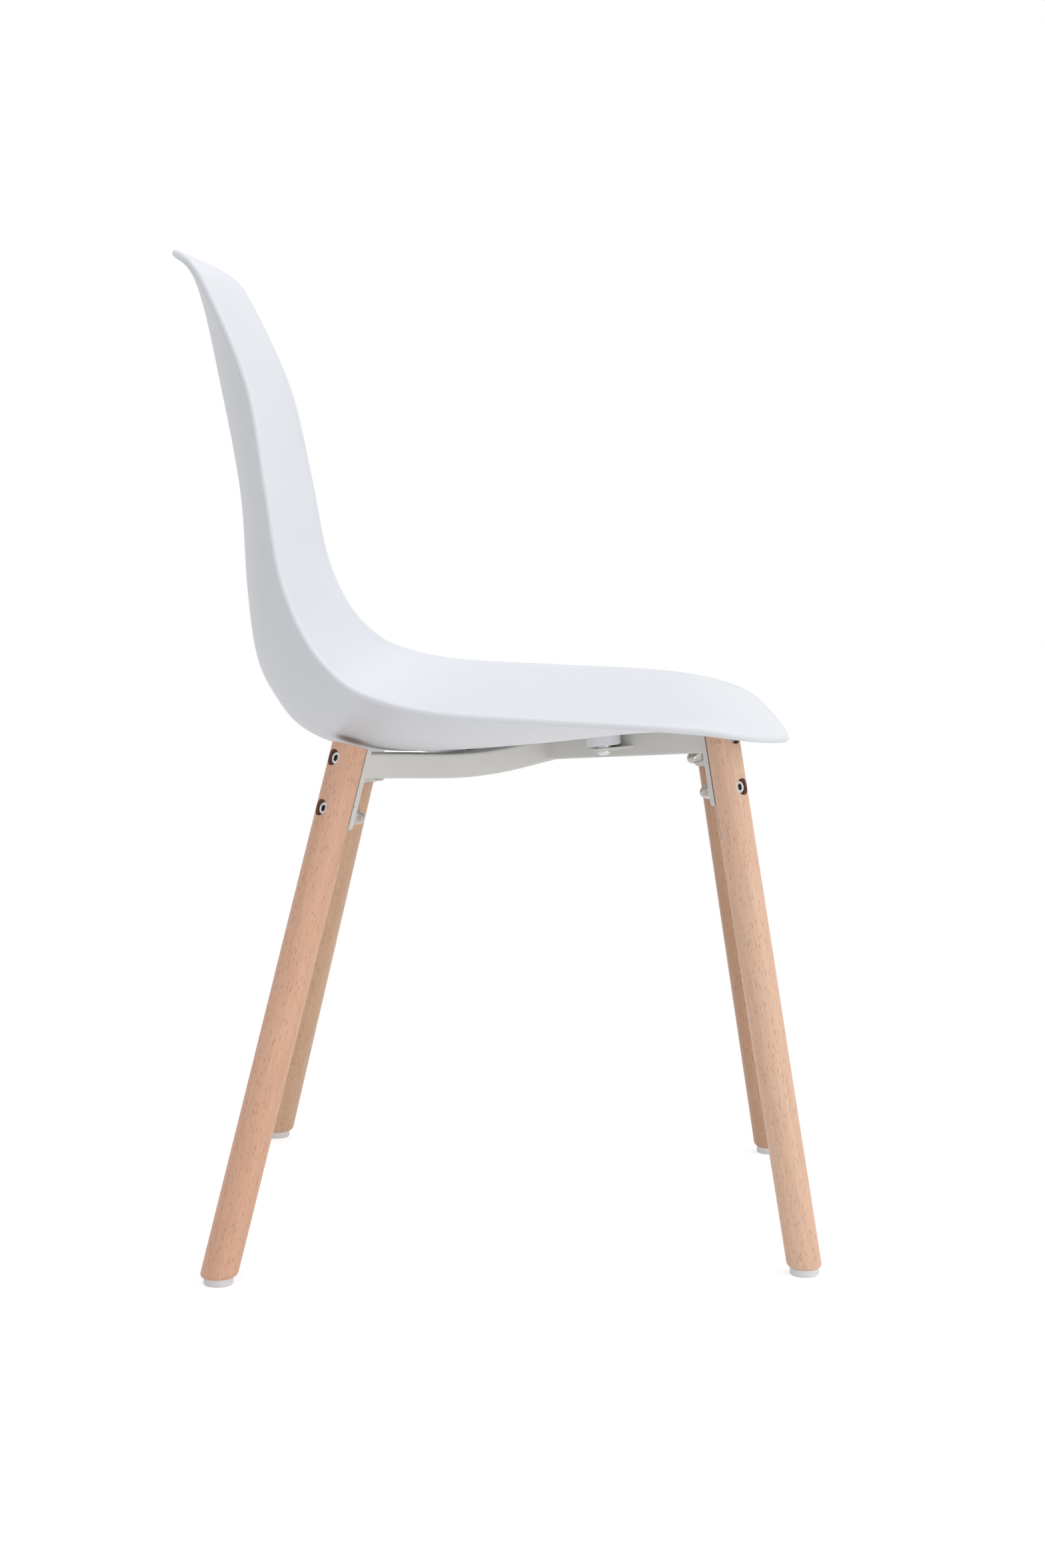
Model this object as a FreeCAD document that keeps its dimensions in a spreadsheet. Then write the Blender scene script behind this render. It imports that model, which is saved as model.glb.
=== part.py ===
import FreeCAD, Part
import math
import os

import Sketcher

# Moulded plastic shell chair on an X-shaped welded tube frame with four bolted wooden legs.
# Millimetres. The origin is on the floor under the middle of the chair, +Z is up, the sitter
# faces -Y and the sitter's left is +X.

os.makedirs("parts", exist_ok=True)
doc = FreeCAD.newDocument("shell_chair")
Vector = FreeCAD.Vector
Placement = FreeCAD.Placement
Rotation = FreeCAD.Rotation

# Driving dimensions
SIZES = {
    # The moulded seat
    "pan_height": 407.0,
    "back_rise": 407.0,
    "lip_reach": 199.0,
    "back_reach": 314.0,
    "seat_half_width": 236.0,
    "wall": 4.6,
    "rim_bead": 6.0,
    "front_corner": 75.0,
    "top_corner": 22.0,
    "corner_power": 2.5,
    # The frame
    "hub_offset": -42.9,
    "arm_angle": 41.0,
    "tube_side": 20.0,
    "tube_wall": 1.5,
    "tube_corner": 2.0,
    "frame_gap": 0.9,
    "leg_gap_front": 0.5,
    "leg_gap_rear": 3.4,
    "arm_slope": 6.8,
    "rear_slope": 4.6,
    "bend_start": 37.0,
    "bend_radius": 427.0,
    # The legs
    "foot_reach_front": 280.1,
    "foot_reach_rear": 341.1,
    "lean_front": 12.36,
    "lean_rear": 17.57,
    "leg_diameter_front": 28.2,
    "leg_diameter_rear": 29.4,
    "leg_end_round": 3.5,
    # The plates that carry the legs
    "plate_width": 22.0,
    "plate_thick": 4.5,
    "plate_end": 12.0,
    "plate_corner": 3.0,
    "bolt_spacing": 41.5,
    # Leg bolts and nuts
    "bolt_diameter": 6.0,
    "head_diameter": 11.0,
    "head_tall": 6.0,
    "hex_key": 5.0,
    "hex_deep": 3.0,
    "bore_diameter": 13.6,
    "bore_deep": 9.3,
    "nut_across": 10.5,
    "nut_tall": 5.0,
    "cap_tall": 11.5,
    "dome_diameter": 10.2,
    # Seat mounting
    "tab_along": 85.0,
    "tab_out": 15.3,
    "tab_thick": 2.5,
    "tab_below": 1.0,
    "tab_end": 12.5,
    "tab_base": 38.0,
    "spacer_diameter": 14.6,
    "spacer_thick": 2.0,
    "boss_diameter": 29.6,
    "boss_draft": 1.0,
    "insert_diameter": 8.0,
    "insert_long": 7.0,
    "screw_diameter": 5.0,
    "screw_head": 12.4,
    "screw_head_tall": 4.0,
    "screw_short": 1.0,
    "screw_rim": 1.0,
    "screw_key": 4.0,
    # Feet
    "pad_diameter": 23.8,
    "pad_height": 6.0,
    "pad_round": 1.2,
    "nail_diameter": 2.8,
    "nail_long": 18.0,
    "nail_head": 7.0,
    "nail_head_tall": 1.5,
    # Fits
    "hole_gap": 0.3,
    "thread_gap": 0.1,
}

# Sizes that follow from the others, as sheet formulas
DERIVED = {
    "bend_height": "hub_height - bend_start * tan(arm_slope * 1deg)",
    "bend_end": "bend_start + bend_radius * (sin(arm_slope * 1deg) + sin(rear_slope * 1deg))",
    "bend_end_height": "bend_height + bend_radius * (cos(arm_slope * 1deg) - cos(rear_slope * 1deg))",
    "flat_front": "sqrt((leg_diameter_front / 2)^2 - (plate_width / 2)^2)",
    "flat_rear": "sqrt((leg_diameter_rear / 2)^2 - (plate_width / 2)^2)",
    "screw_hole": "screw_diameter / 2 + hole_gap",
    "bolt_hole": "bolt_diameter / 2 + hole_gap",
    "thread_bore": "bolt_diameter / 2 + thread_gap",
    "screw_bore": "screw_diameter / 2 + thread_gap",
    "nail_bore": "nail_diameter / 2 + thread_gap",
    "nut_circle": "nut_across / 2 / cos(30deg)",
    "key_circle": "hex_key / 2 / cos(30deg)",
    "screw_key_circle": "screw_key / 2 / cos(30deg)",
}

sheet = doc.addObject("Spreadsheet::Sheet", "sizes")
cells = []


def add_size(alias, text):
    """Add one named value or formula at the end of the sheet."""
    cells.append(alias)
    row = len(cells)
    sheet.set("A%d" % row, alias)
    sheet.set("B%d" % row, text)
    sheet.setAlias("B%d" % row, alias)


for size_name, value in SIZES.items():
    add_size(size_name, str(value))
doc.recompute()


def size(alias):
    """The value of one named size, in millimetres or degrees."""
    return float(getattr(sheet, alias))


# The seat's profile. Each station gives the underside's centre line and the rim beside it:
# (fore, up) of the centre, (half width, fore, up) of the rim's crest, and the fullness of the
# curve between them. Fore is a share of lip_reach or back_reach, up is a share of back_rise,
# and the half width is a share of seat_half_width.
STATIONS = [
    # centre         rim                     fullness
    ((0.990, 0.036), (1.010, 0.990, 0.059), 2.5),
    ((0.893, 0.065), (1.010, 0.893, 0.076), 2.5),
    ((0.680, 0.083), (1.012, 0.670, 0.098), 2.6),
    ((0.400, 0.060), (1.022, 0.420, 0.109), 2.7),
    ((0.000, 0.024), (1.004, 0.000, 0.118), 2.6),
    ((-0.318, 0.002), (0.983, -0.287, 0.131), 2.7),
    ((-0.525, 0.008), (0.943, -0.462, 0.165), 2.8),
    ((-0.650, 0.044), (0.903, -0.545, 0.211), 2.8),
    ((-0.722, 0.105), (0.875, -0.596, 0.260), 2.7),
    ((-0.774, 0.188), (0.860, -0.636, 0.321), 2.6),
    ((-0.800, 0.328), (0.849, -0.670, 0.405), 2.4),
    ((-0.818, 0.528), (0.805, -0.702, 0.548), 2.3),
    ((-0.872, 0.744), (0.708, -0.756, 0.748), 2.2),
    ((-0.927, 0.945), (0.640, -0.865, 0.938), 2.2),
    ((-0.987, 1.001), (0.634, -0.932, 1.007), 2.2),
]
# Places across the skins, and how sharply they thicken towards the rim
SHELL_ROWS = 41
SHELL_COLUMNS = 21
RIM_REACH = 12
# Steps along curves that are measured or searched, and the width that a search ends at
NORMAL_SHARE = 4
LENGTH_STEPS = 20
CORNER_STEPS = 24
ARM_STEPS = 40
LEG_TOP_SPOTS = 24
FINE = 0.01


def interpolate(samples, at):
    """Value of a smooth curve through evenly numbered samples (a Catmull-Rom spline)."""
    last = len(samples) - 1
    index = min(max(int(math.floor(at)), 0), last - 1)
    part = at - index
    mine = samples[index]
    following = samples[index + 1]
    before = samples[index - 1] if index > 0 else 2 * mine - following
    after = samples[index + 2] if index + 2 <= last else 2 * following - mine
    return mine + 0.5 * part * (
        following - before
        + part * (2 * before - 5 * mine + 4 * following - after
                  + part * (3 * (mine - following) + after - before)))


def reach(share):
    """Distance forward of the hub for a station's share, negative behind it."""
    return share * (size("lip_reach") if share > 0 else size("back_reach"))


class Seat:
    """The seat's middle surface, as a function of station and place across."""

    def __init__(self):
        rise = size("back_rise")
        base = size("pan_height")
        self.hub = size("hub_offset")
        self.wall = size("wall")
        self.bead = size("rim_bead")
        centre = [(reach(c[0]), base + rise * c[1]) for c, _, _ in STATIONS]
        rim = [(reach(r[1]), base + rise * r[2]) for _, r, _ in STATIONS]
        self.centre_fore = [p[0] for p in centre]
        self.centre_up = [p[1] for p in centre]
        self.rim_fore = [p[0] for p in rim]
        self.rim_up = [p[1] - self.bead / 2 for p in rim]
        self.half = [r[0] * size("seat_half_width") - self.bead / 2 for _, r, _ in STATIONS]
        self.fullness = [f for _, _, f in STATIONS]
        self.last = len(STATIONS) - 1
        self.lengths = self.measure()

    def measure(self):
        """Length of the centre line up to each of many evenly numbered places."""
        steps = LENGTH_STEPS * self.last
        lengths = [0.0]
        old = self.centre(0.0)
        for step in range(1, steps + 1):
            new = self.centre(self.last * step / steps)
            lengths.append(lengths[-1] + math.hypot(new[0] - old[0], new[1] - old[1]))
            old = new
        return lengths

    def centre(self, at):
        """Centre line of the middle surface: half a wall above the underside."""
        fore = interpolate(self.centre_fore, at)
        up = interpolate(self.centre_up, at)
        run = interpolate(self.centre_fore, at + FINE) - interpolate(self.centre_fore, at - FINE)
        climb = interpolate(self.centre_up, at + FINE) - interpolate(self.centre_up, at - FINE)
        slope = math.hypot(run, climb)
        return fore + self.wall / 2 * climb / slope, up - self.wall / 2 * run / slope

    def station(self, length):
        """Station number at a length along the centre line."""
        steps = len(self.lengths) - 1
        if length <= 0:
            return 0.0
        for step in range(steps):
            if self.lengths[step + 1] >= length:
                part = (length - self.lengths[step]) / (self.lengths[step + 1] - self.lengths[step])
                return self.last * (step + part) / steps
        return float(self.last)

    def half_width(self, length):
        """Half the width across at a length along the centre line."""
        return interpolate(self.half, self.station(length))

    def middle(self, length, across):
        """Point of the middle surface, in the chair's frame."""
        at = self.station(length)
        fore, up = self.centre(at)
        share = abs(across) / interpolate(self.half, at)
        lift = share ** interpolate(self.fullness, at)
        fore += lift * (interpolate(self.rim_fore, at) - fore)
        up += lift * (interpolate(self.rim_up, at) - up)
        return Vector(across, self.hub - fore, up)

    def normal(self, length, across):
        """Direction from the underside to the sitter."""
        step = self.wall / NORMAL_SHARE
        near = max(length - step, 0.0)
        far = min(length + step, self.lengths[-1])
        along = self.middle(far, across) - self.middle(near, across)
        sideways = self.middle(length, across + step) - self.middle(length, across - step)
        direction = along.cross(sideways)
        direction.normalize()
        return -direction

    def underside(self, across, fore):
        """Height of the underside of the seat pan at one place, found by halving along it."""
        low = 0.0
        high = self.lengths[-1] / 2
        while high - low > FINE:
            mid = (low + high) / 2
            if self.middle(mid, across).y < self.hub - fore:
                low = mid
            else:
                high = mid
        point = self.middle(low, across) - self.normal(low, across) * self.wall / 2
        return point.z


def outline(seat):
    """Quarter outlines of the flattened seat: the front edge, one side and the top edge."""
    total = seat.lengths[-1]
    power = 2 / size("corner_power")
    quarter = math.pi / 2
    steps = CORNER_STEPS

    def corner(turn, deep):
        """Place on a rounded corner, as (along, share of the half width)."""
        across = math.sin(turn) ** power
        along = deep * (1 - math.cos(turn) ** power)
        return along, across

    front = []
    side = []
    top = []
    for step in range(steps + 1):
        along, across = corner(quarter / 2 * step / steps, size("front_corner"))
        front.append((along, across * seat.half_width(along)))
        along, across = corner(quarter / 2 * step / steps, size("top_corner"))
        top.append((total - along, across * seat.half_width(total - along)))
    for step in range(steps + 1):
        along, across = corner(quarter / 2 * (1 + step / steps), size("front_corner"))
        side.append((along, across * seat.half_width(along)))
    start = size("front_corner")
    stop = total - size("top_corner")
    for step in range(1, 3 * steps):
        along = start + (stop - start) * step / (3 * steps)
        side.append((along, seat.half_width(along)))
    for step in range(steps + 1):
        along, across = corner(quarter / 2 * (2 - step / steps), size("top_corner"))
        side.append((total - along, across * seat.half_width(total - along)))
    return front, side, top


def spread(line, count):
    """The same polyline as evenly spaced points."""
    lengths = [0.0]
    for old, new in zip(line, line[1:]):
        lengths.append(lengths[-1] + math.hypot(new[0] - old[0], new[1] - old[1]))
    points = []
    place = 0
    for index in range(count):
        want = lengths[-1] * index / (count - 1)
        while place < len(line) - 2 and lengths[place + 1] < want:
            place += 1
        part = (want - lengths[place]) / (lengths[place + 1] - lengths[place])
        points.append((line[place][0] + part * (line[place + 1][0] - line[place][0]),
                       line[place][1] + part * (line[place + 1][1] - line[place][1])))
    return points


def seat_grid(seat):
    """Rows of (length, across) that fill the flattened outline from the front to the top."""
    front, side, top = outline(seat)
    columns = SHELL_COLUMNS // 2 + 1
    front = spread(front, columns)
    side = spread(side, SHELL_ROWS)
    top = spread(top, columns)
    rows = []
    for row in range(SHELL_ROWS):
        down = row / (SHELL_ROWS - 1)
        edge = side[row]
        middle_along = front[0][0] + down * (top[0][0] - front[0][0])
        half = []
        for column in range(columns):
            over = column / (columns - 1)
            along = ((1 - down) * front[column][0] + down * top[column][0]
                     + (1 - over) * middle_along + over * edge[0]
                     - (1 - down) * ((1 - over) * front[0][0] + over * front[-1][0])
                     - down * ((1 - over) * top[0][0] + over * top[-1][0]))
            across = ((1 - down) * front[column][1] + down * top[column][1]
                      + over * edge[1]
                      - (1 - down) * over * front[-1][1]
                      - down * over * top[-1][1])
            half.append((along, across))
        rows.append([(a, -x) for a, x in reversed(half[1:])] + half)
    return rows


def through(points):
    """An edge through points."""
    curve = Part.BSplineCurve()
    curve.interpolate(points)
    return curve.toShape()


def shell_solid(seat):
    """The moulded seat without its bosses: two skins joined by a round rim."""
    grid = seat_grid(seat)
    rows = len(grid)
    columns = len(grid[0])
    inner = []
    outer = []
    edge_out = {}
    for row in range(rows):
        inner_row = []
        outer_row = []
        for column in range(columns):
            along, across = grid[row][column]
            rim = max(abs(2 * row / (rows - 1) - 1), abs(2 * column / (columns - 1) - 1))
            thick = seat.wall + (seat.bead - seat.wall) * rim ** RIM_REACH
            middle = seat.middle(along, across)
            normal = seat.normal(along, across)
            inner_row.append(middle + normal * thick / 2)
            outer_row.append(middle - normal * thick / 2)
            if row in (0, rows - 1) or column in (0, columns - 1):
                inside = grid[min(max(row, 1), rows - 2)][min(max(column, 1), columns - 2)]
                away = middle - seat.middle(inside[0], inside[1])
                edge_out[(row, column)] = (middle, normal, away)
        inner.append(inner_row)
        outer.append(outer_row)

    def away_from(place, ring, index):
        """Direction out of the seat at one boundary place, within the middle surface."""
        _, normal, away = edge_out[place]
        before = edge_out[ring[max(index - 1, 0)]][0]
        after = edge_out[ring[min(index + 1, len(ring) - 1)]][0]
        out = normal.cross(after - before)
        if out.dot(away) < 0:
            out = -out
        out.normalize()
        return out

    rings = [
        [(0, c) for c in range(columns)],
        [(r, columns - 1) for r in range(rows)],
        [(rows - 1, c) for c in range(columns)],
        [(r, 0) for r in range(rows)],
    ]
    directions = {}
    for ring in rings:
        for index, place in enumerate(ring):
            out = away_from(place, ring, index)
            directions[place] = directions.get(place, Vector()) + out
    crests = {}
    for place, out in directions.items():
        out.normalize()
        crests[place] = edge_out[place][0] + out * seat.bead / 2

    faces = []
    borders = []
    for skin in (inner, outer):
        surface = Part.BSplineSurface()
        surface.interpolate(skin)
        faces.append(surface.toShape())
        first_u, last_u, first_v, last_v = surface.bounds()
        runs = (surface.uIso(first_u), surface.vIso(last_v), surface.uIso(last_u), surface.vIso(first_v))
        borders.append(Part.Wire([run.toShape() for run in runs]))
    crest = Part.Wire([through([crests[place] for place in ring]) for ring in rings])
    faces.extend(Part.makeLoft([borders[0], crest, borders[1]], False, False).Faces)
    shell = Part.makeShell(faces)
    shell.sewShape()
    solid = Part.Solid(shell)
    if solid.Volume < 0:
        solid.reverse()
    return solid


# The four corners: direction from the hub, and which end of the frame each is on
RIGHT_ANGLE = 90
CORNERS = {
    "front_right": (-size("arm_angle") - RIGHT_ANGLE, "front"),
    "front_left": (size("arm_angle") - RIGHT_ANGLE, "front"),
    "rear_left": (RIGHT_ANGLE - size("arm_angle"), "rear"),
    "rear_right": (RIGHT_ANGLE + size("arm_angle"), "rear"),
}


def arm_rise(out):
    """Height of an arm's centre line over its height at the hub. Behind the hub out is negative."""
    slope = math.radians(size("arm_slope"))
    rise = math.radians(size("rear_slope"))
    start = size("bend_start")
    radius = size("bend_radius")
    if out >= -start:
        return out * math.tan(slope)
    low = -start * math.tan(slope)
    end = start + radius * (math.sin(slope) + math.sin(rise))
    if out >= -end:
        angle = math.asin(math.sin(slope) + (out + start) / radius)
        return low + radius * (math.cos(slope) - math.cos(angle))
    return low + radius * (math.cos(slope) - math.cos(rise)) - (out + end) * math.tan(rise)


def clear_hub_height(seat):
    """Height of the frame's centre that leaves the frame gap below the seat all along the arms."""
    turn = math.radians(size("arm_angle"))
    half = size("tube_side") / 2
    height = size("pan_height")
    ends = []
    for end in ("rear", "front"):
        lean = math.tan(math.radians(size("lean_" + end)))
        ends.append(size("foot_reach_" + end) - size("pan_height") * lean)
    first = half - ends[0]
    last = ends[1] - half
    room = []
    for step in range(ARM_STEPS + 1):
        out = first + (last - first) * step / ARM_STEPS
        for side in (-half, 0, half):
            across = abs(out * math.sin(turn) + side * math.cos(turn))
            fore = out * math.cos(turn) - side * math.sin(turn)
            room.append(seat.underside(across, fore) - arm_rise(out))
    steepest = math.radians(max(size("arm_slope"), size("rear_slope")))
    return min(room) - size("frame_gap") - half / math.cos(steepest)


seat = Seat()
add_size("hub_height", "%.2f" % clear_hub_height(seat))
for size_name, formula in DERIVED.items():
    add_size(size_name, "=" + formula)
doc.recompute()


def arm_frame(corner):
    """Frame of one arm: x runs outward from the hub, z is up, the origin is on the floor."""
    return Placement(Vector(0, size("hub_offset"), 0), Rotation(Vector(0, 0, 1), CORNERS[corner][0]))


def arm_line(end):
    """Height at the hub and slope of the straight outer stretch of an arm's centre line."""
    if end == "front":
        return size("hub_height"), math.tan(math.radians(size("arm_slope")))
    slope = math.tan(math.radians(size("rear_slope")))
    return size("bend_end_height") - slope * size("bend_end"), slope


def bolt_point(end):
    """Where the upper bolt crosses the leg's axis, as (outward, up) in the arm's frame.

    The bolt's axis passes through the arm's centre line at the plate's inner face.
    """
    lean = math.radians(size("lean_" + end))
    stack = size("flat_" + end) + size("plate_thick")
    start, slope = arm_line(end)
    floor_reach = size("foot_reach_" + end) + size("pad_height") * math.tan(lean)
    up = ((start + slope * (floor_reach - stack * math.cos(lean)) + stack * math.sin(lean))
          / (1 + slope * math.tan(lean)))
    return floor_reach - up * math.tan(lean), up


def leg_frame(corner):
    """Frame of one leg: z runs up its axis, x outward, the origin where the upper bolt crosses."""
    end = CORNERS[corner][1]
    out, up = bolt_point(end)
    tilt = Rotation(Vector(0, 1, 0), -size("lean_" + end))
    return arm_frame(corner) * Placement(Vector(out, 0, up), tilt)


def clear_leg_top(corner):
    """Length of a leg above its upper bolt that leaves the leg gap below the seat."""
    end = CORNERS[corner][1]
    place = leg_frame(corner)
    radius = size("leg_diameter_" + end) / 2
    inner = -size("flat_" + end) - size("plate_thick")
    edge = size("plate_width") / 2
    spots = [(inner, -edge), (inner, edge)]
    for step in range(LEG_TOP_SPOTS):
        angle = 2 * math.pi * step / LEG_TOP_SPOTS
        spots.append((radius * math.cos(angle), radius * math.sin(angle)))
    tops = []
    for x, y in spots:
        low = 0.0
        high = size("bolt_spacing")
        while high - low > FINE:
            mid = (low + high) / 2
            point = place.multVec(Vector(x, y, mid))
            under = seat.underside(point.x, size("hub_offset") - point.y)
            if under - point.z > size("leg_gap_" + end):
                low = mid
            else:
                high = mid
        tops.append(low)
    return min(tops)


add_size("leg_above_bolt_front", "%.2f" % clear_leg_top("front_left"))
add_size("leg_above_bolt_rear", "%.2f" % clear_leg_top("rear_left"))
doc.recompute()


def tab_frame(corner):
    """Frame of one seat tab: the origin on the arm's centre line, z square to the arm there."""
    end = CORNERS[corner][1]
    slope = size("arm_slope")
    if end == "front":
        out = size("tab_along") * math.cos(math.radians(slope))
        up = size("hub_height") + size("tab_along") * math.sin(math.radians(slope))
        return arm_frame(corner) * Placement(Vector(out, 0, up), Rotation(Vector(0, 1, 0), -slope))
    out = size("bend_start") + size("bend_radius") * math.sin(math.radians(slope))
    up = size("bend_height") - size("bend_radius") * (1 - math.cos(math.radians(slope)))
    return arm_frame(corner) * Placement(Vector(out, 0, up), Rotation())


# The front tabs stand on the outer sides of their arms and the rear ones between the arms
TAB_SIDE = {"front_right": -1, "front_left": 1, "rear_left": 1, "rear_right": -1}


def screw_place(corner):
    """Frame on a seat screw's axis, at the top of its tab."""
    side = TAB_SIDE[corner]
    out = size("tube_side") / 2 + size("tab_out")
    return tab_frame(corner) * Placement(Vector(0, side * out, -size("tab_below")), Rotation())


def new_body(name):
    """An empty body whose label is its node's name."""
    body = doc.addObject("PartDesign::Body", name)
    body.Label = name
    return body


def plane(body, role):
    """One of the body's own origin planes."""
    for feature in body.Origin.OriginFeatures:
        if feature.Role == role:
            return feature
    raise ValueError(role)


def new_sketch(body, name, role):
    """A sketch that lies on one of the body's origin planes."""
    sketch = body.newObject("Sketcher::SketchObject", name)
    sketch.AttachmentSupport = [(plane(body, role), "")]
    sketch.MapMode = "FlatFace"
    return sketch


def primitive(body, kind, name, place=None, **bound):
    """Add a primitive feature whose sizes are bound to formulas of the sheet's cells."""
    feature = body.newObject("PartDesign::" + kind, name)
    for key, formula in bound.items():
        feature.setExpression(key, formula)
    if place is not None:
        feature.Placement = place
    return feature


def round_edges(body, name, chosen, radius_formula):
    """Fillet the edges of the body's tip that the test picks."""
    doc.recompute()
    base = body.Tip
    names = ["Edge%d" % (i + 1) for i, edge in enumerate(base.Shape.Edges) if chosen(edge)]
    fillet = body.newObject("PartDesign::Fillet", name)
    fillet.Base = (base, names)
    fillet.setExpression("Radius", radius_formula)
    return fillet


ALONG_X = Rotation(Vector(0, 1, 0), RIGHT_ANGLE)


def add_loop(sketch, pieces):
    """Draw one closed outline of lines and arcs and join the ends that meet."""
    ends = []
    for piece in pieces:
        index = sketch.addGeometry(piece, False)
        for vertex in (1, 2):
            ends.append((index, vertex, sketch.getPoint(index, vertex)))
    for place, (index, vertex, point) in enumerate(ends):
        for other, other_vertex, other_point in ends[place + 1:]:
            if other != index and point.distanceToPoint(other_point) < FINE:
                sketch.addConstraint(Sketcher.Constraint("Coincident", index, vertex, other, other_vertex))


def tube_band(start, stop, half, front_lean, rear_lean):
    """Side outline of a tube: lines and arcs at a half height above and below its centre line.

    start and stop are the outward places of its ends, behind the hub when negative. An end at
    a plate is cut to the plate's lean.
    """
    slope = math.radians(size("arm_slope"))
    rise = math.radians(size("rear_slope"))
    hub = size("hub_height")
    bend = Vector(-size("bend_start"), size("bend_height"), 0)
    arc_centre = bend + Vector(-math.sin(slope), math.cos(slope), 0) * size("bend_radius")
    straight_on = stop < -size("bend_start")

    def on_front(place, offset, lean):
        """Point at an offset from the front straight, on a cut line through the centre line."""
        along = Vector(math.cos(slope), math.sin(slope), 0)
        square = Vector(-math.sin(slope), math.cos(slope), 0)
        base = Vector(place, hub + place * math.tan(slope), 0)
        return base + square * offset + along * offset * math.tan(slope - lean)

    def on_rear(place, offset, lean):
        """The same for the straight behind the bend."""
        along = Vector(-math.cos(rise), math.sin(rise), 0)
        square = Vector(math.sin(rise), math.cos(rise), 0)
        end = Vector(-size("bend_end"), size("bend_end_height"), 0)
        base = Vector(place, end.y + (end.x - place) * math.tan(rise), 0)
        return base + square * offset + along * offset * math.tan(rise - lean)

    def on_arc(angle, offset):
        """Point at an offset from the bend's centre line."""
        away = Vector(math.sin(angle), -math.cos(angle), 0)
        return arc_centre + away * (size("bend_radius") - offset)

    pieces = []
    top_front = on_front(start, half, front_lean)
    low_front = on_front(start, -half, front_lean)
    if not straight_on:
        top_back = on_front(stop, half, rear_lean)
        low_back = on_front(stop, -half, rear_lean)
        corners = [top_front, top_back, low_back, low_front]
        for index, corner in enumerate(corners):
            pieces.append(Part.LineSegment(corner, corners[index - 1]))
        return pieces
    top_back = on_rear(stop, half, rear_lean)
    low_back = on_rear(stop, -half, rear_lean)
    for offset, near, far, flip in ((half, top_front, top_back, False), (-half, low_front, low_back, True)):
        first = on_arc(slope, offset)
        middle = on_arc((slope - rise) / 2, offset)
        last = on_arc(-rise, offset)
        run = [Part.LineSegment(near, first), Part.Arc(first, middle, last), Part.LineSegment(last, far)]
        if flip:
            run = [Part.LineSegment(far, last), Part.Arc(last, middle, first), Part.LineSegment(first, near)]
            pieces.append(Part.LineSegment(top_back, low_back))
        pieces.extend(run)
    pieces.append(Part.LineSegment(low_front, top_front))
    return pieces


def plate_meets(end):
    """Outward place where an arm's centre line meets the plate's inner face."""
    lean = math.radians(size("lean_" + end))
    stack = size("flat_" + end) + size("plate_thick")
    return bolt_point(end)[0] - stack * math.cos(lean)


def make_tube(name, corner, start, stop, front_lean, rear_lean):
    """A hollow square tube: its side outline padded to its width, with the bore pocketed."""
    body = new_body(name)
    for label, kind, shrink in (("Outside", "Pad", 0.0), ("Bore", "Pocket", size("tube_wall"))):
        sketch = new_sketch(body, name + label + "Sketch", "XZ_Plane")
        add_loop(sketch, tube_band(start, stop, size("tube_side") / 2 - shrink, front_lean, rear_lean))
        feature = body.newObject("PartDesign::" + kind, name + label)
        feature.Profile = sketch
        feature.Midplane = True
        feature.setExpression(
            "Length", "sizes.tube_side" if kind == "Pad" else "sizes.tube_side - 2 * sizes.tube_wall")
        if kind == "Pad":
            half = size("tube_side") / 2

            def lengthwise(edge):
                """One of the four long corners."""
                box = edge.BoundBox
                return box.XLength > half and abs(abs(box.YMin) - half) < FINE

            round_edges(body, name + "Corners", lengthwise, "sizes.tube_corner")
    body.Placement = arm_frame(corner)
    return body


nodes = {}


def make_frame():
    """Two crossing diagonals: one whole tube, and one cut at the hub and welded to its sides."""
    front = plate_meets("front")
    rear = -plate_meets("rear")
    lean_front = math.radians(size("lean_front"))
    lean_rear = math.radians(size("lean_rear"))
    nodes["frame_long_tube"] = make_tube("frame_long_tube", "front_left", front, rear, lean_front, lean_rear)
    long_half = size("tube_side") / 2
    cross = 2 * size("arm_angle")
    for name, start, stop, sign in (("frame_front_arm", front, 0.0, 1), ("frame_rear_arm", 0.0, rear, -1)):
        body = make_tube(name, "front_right", start, stop,
                         lean_front if sign > 0 else 0.0, lean_rear if sign < 0 else 0.0)
        trim = primitive(body, "SubtractiveBox", name + "Mitre",
                         Length="sizes.tube_side * 4", Width="sizes.tube_side", Height="sizes.tube_side * 4")
        turn = Rotation(Vector(0, 0, 1), cross)
        base = Vector(-2 * size("tube_side"), -long_half, size("hub_height") - 2 * size("tube_side"))
        trim.Placement = Placement(Vector(), turn) * Placement(base, Rotation())
        nodes[name] = body


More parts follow.
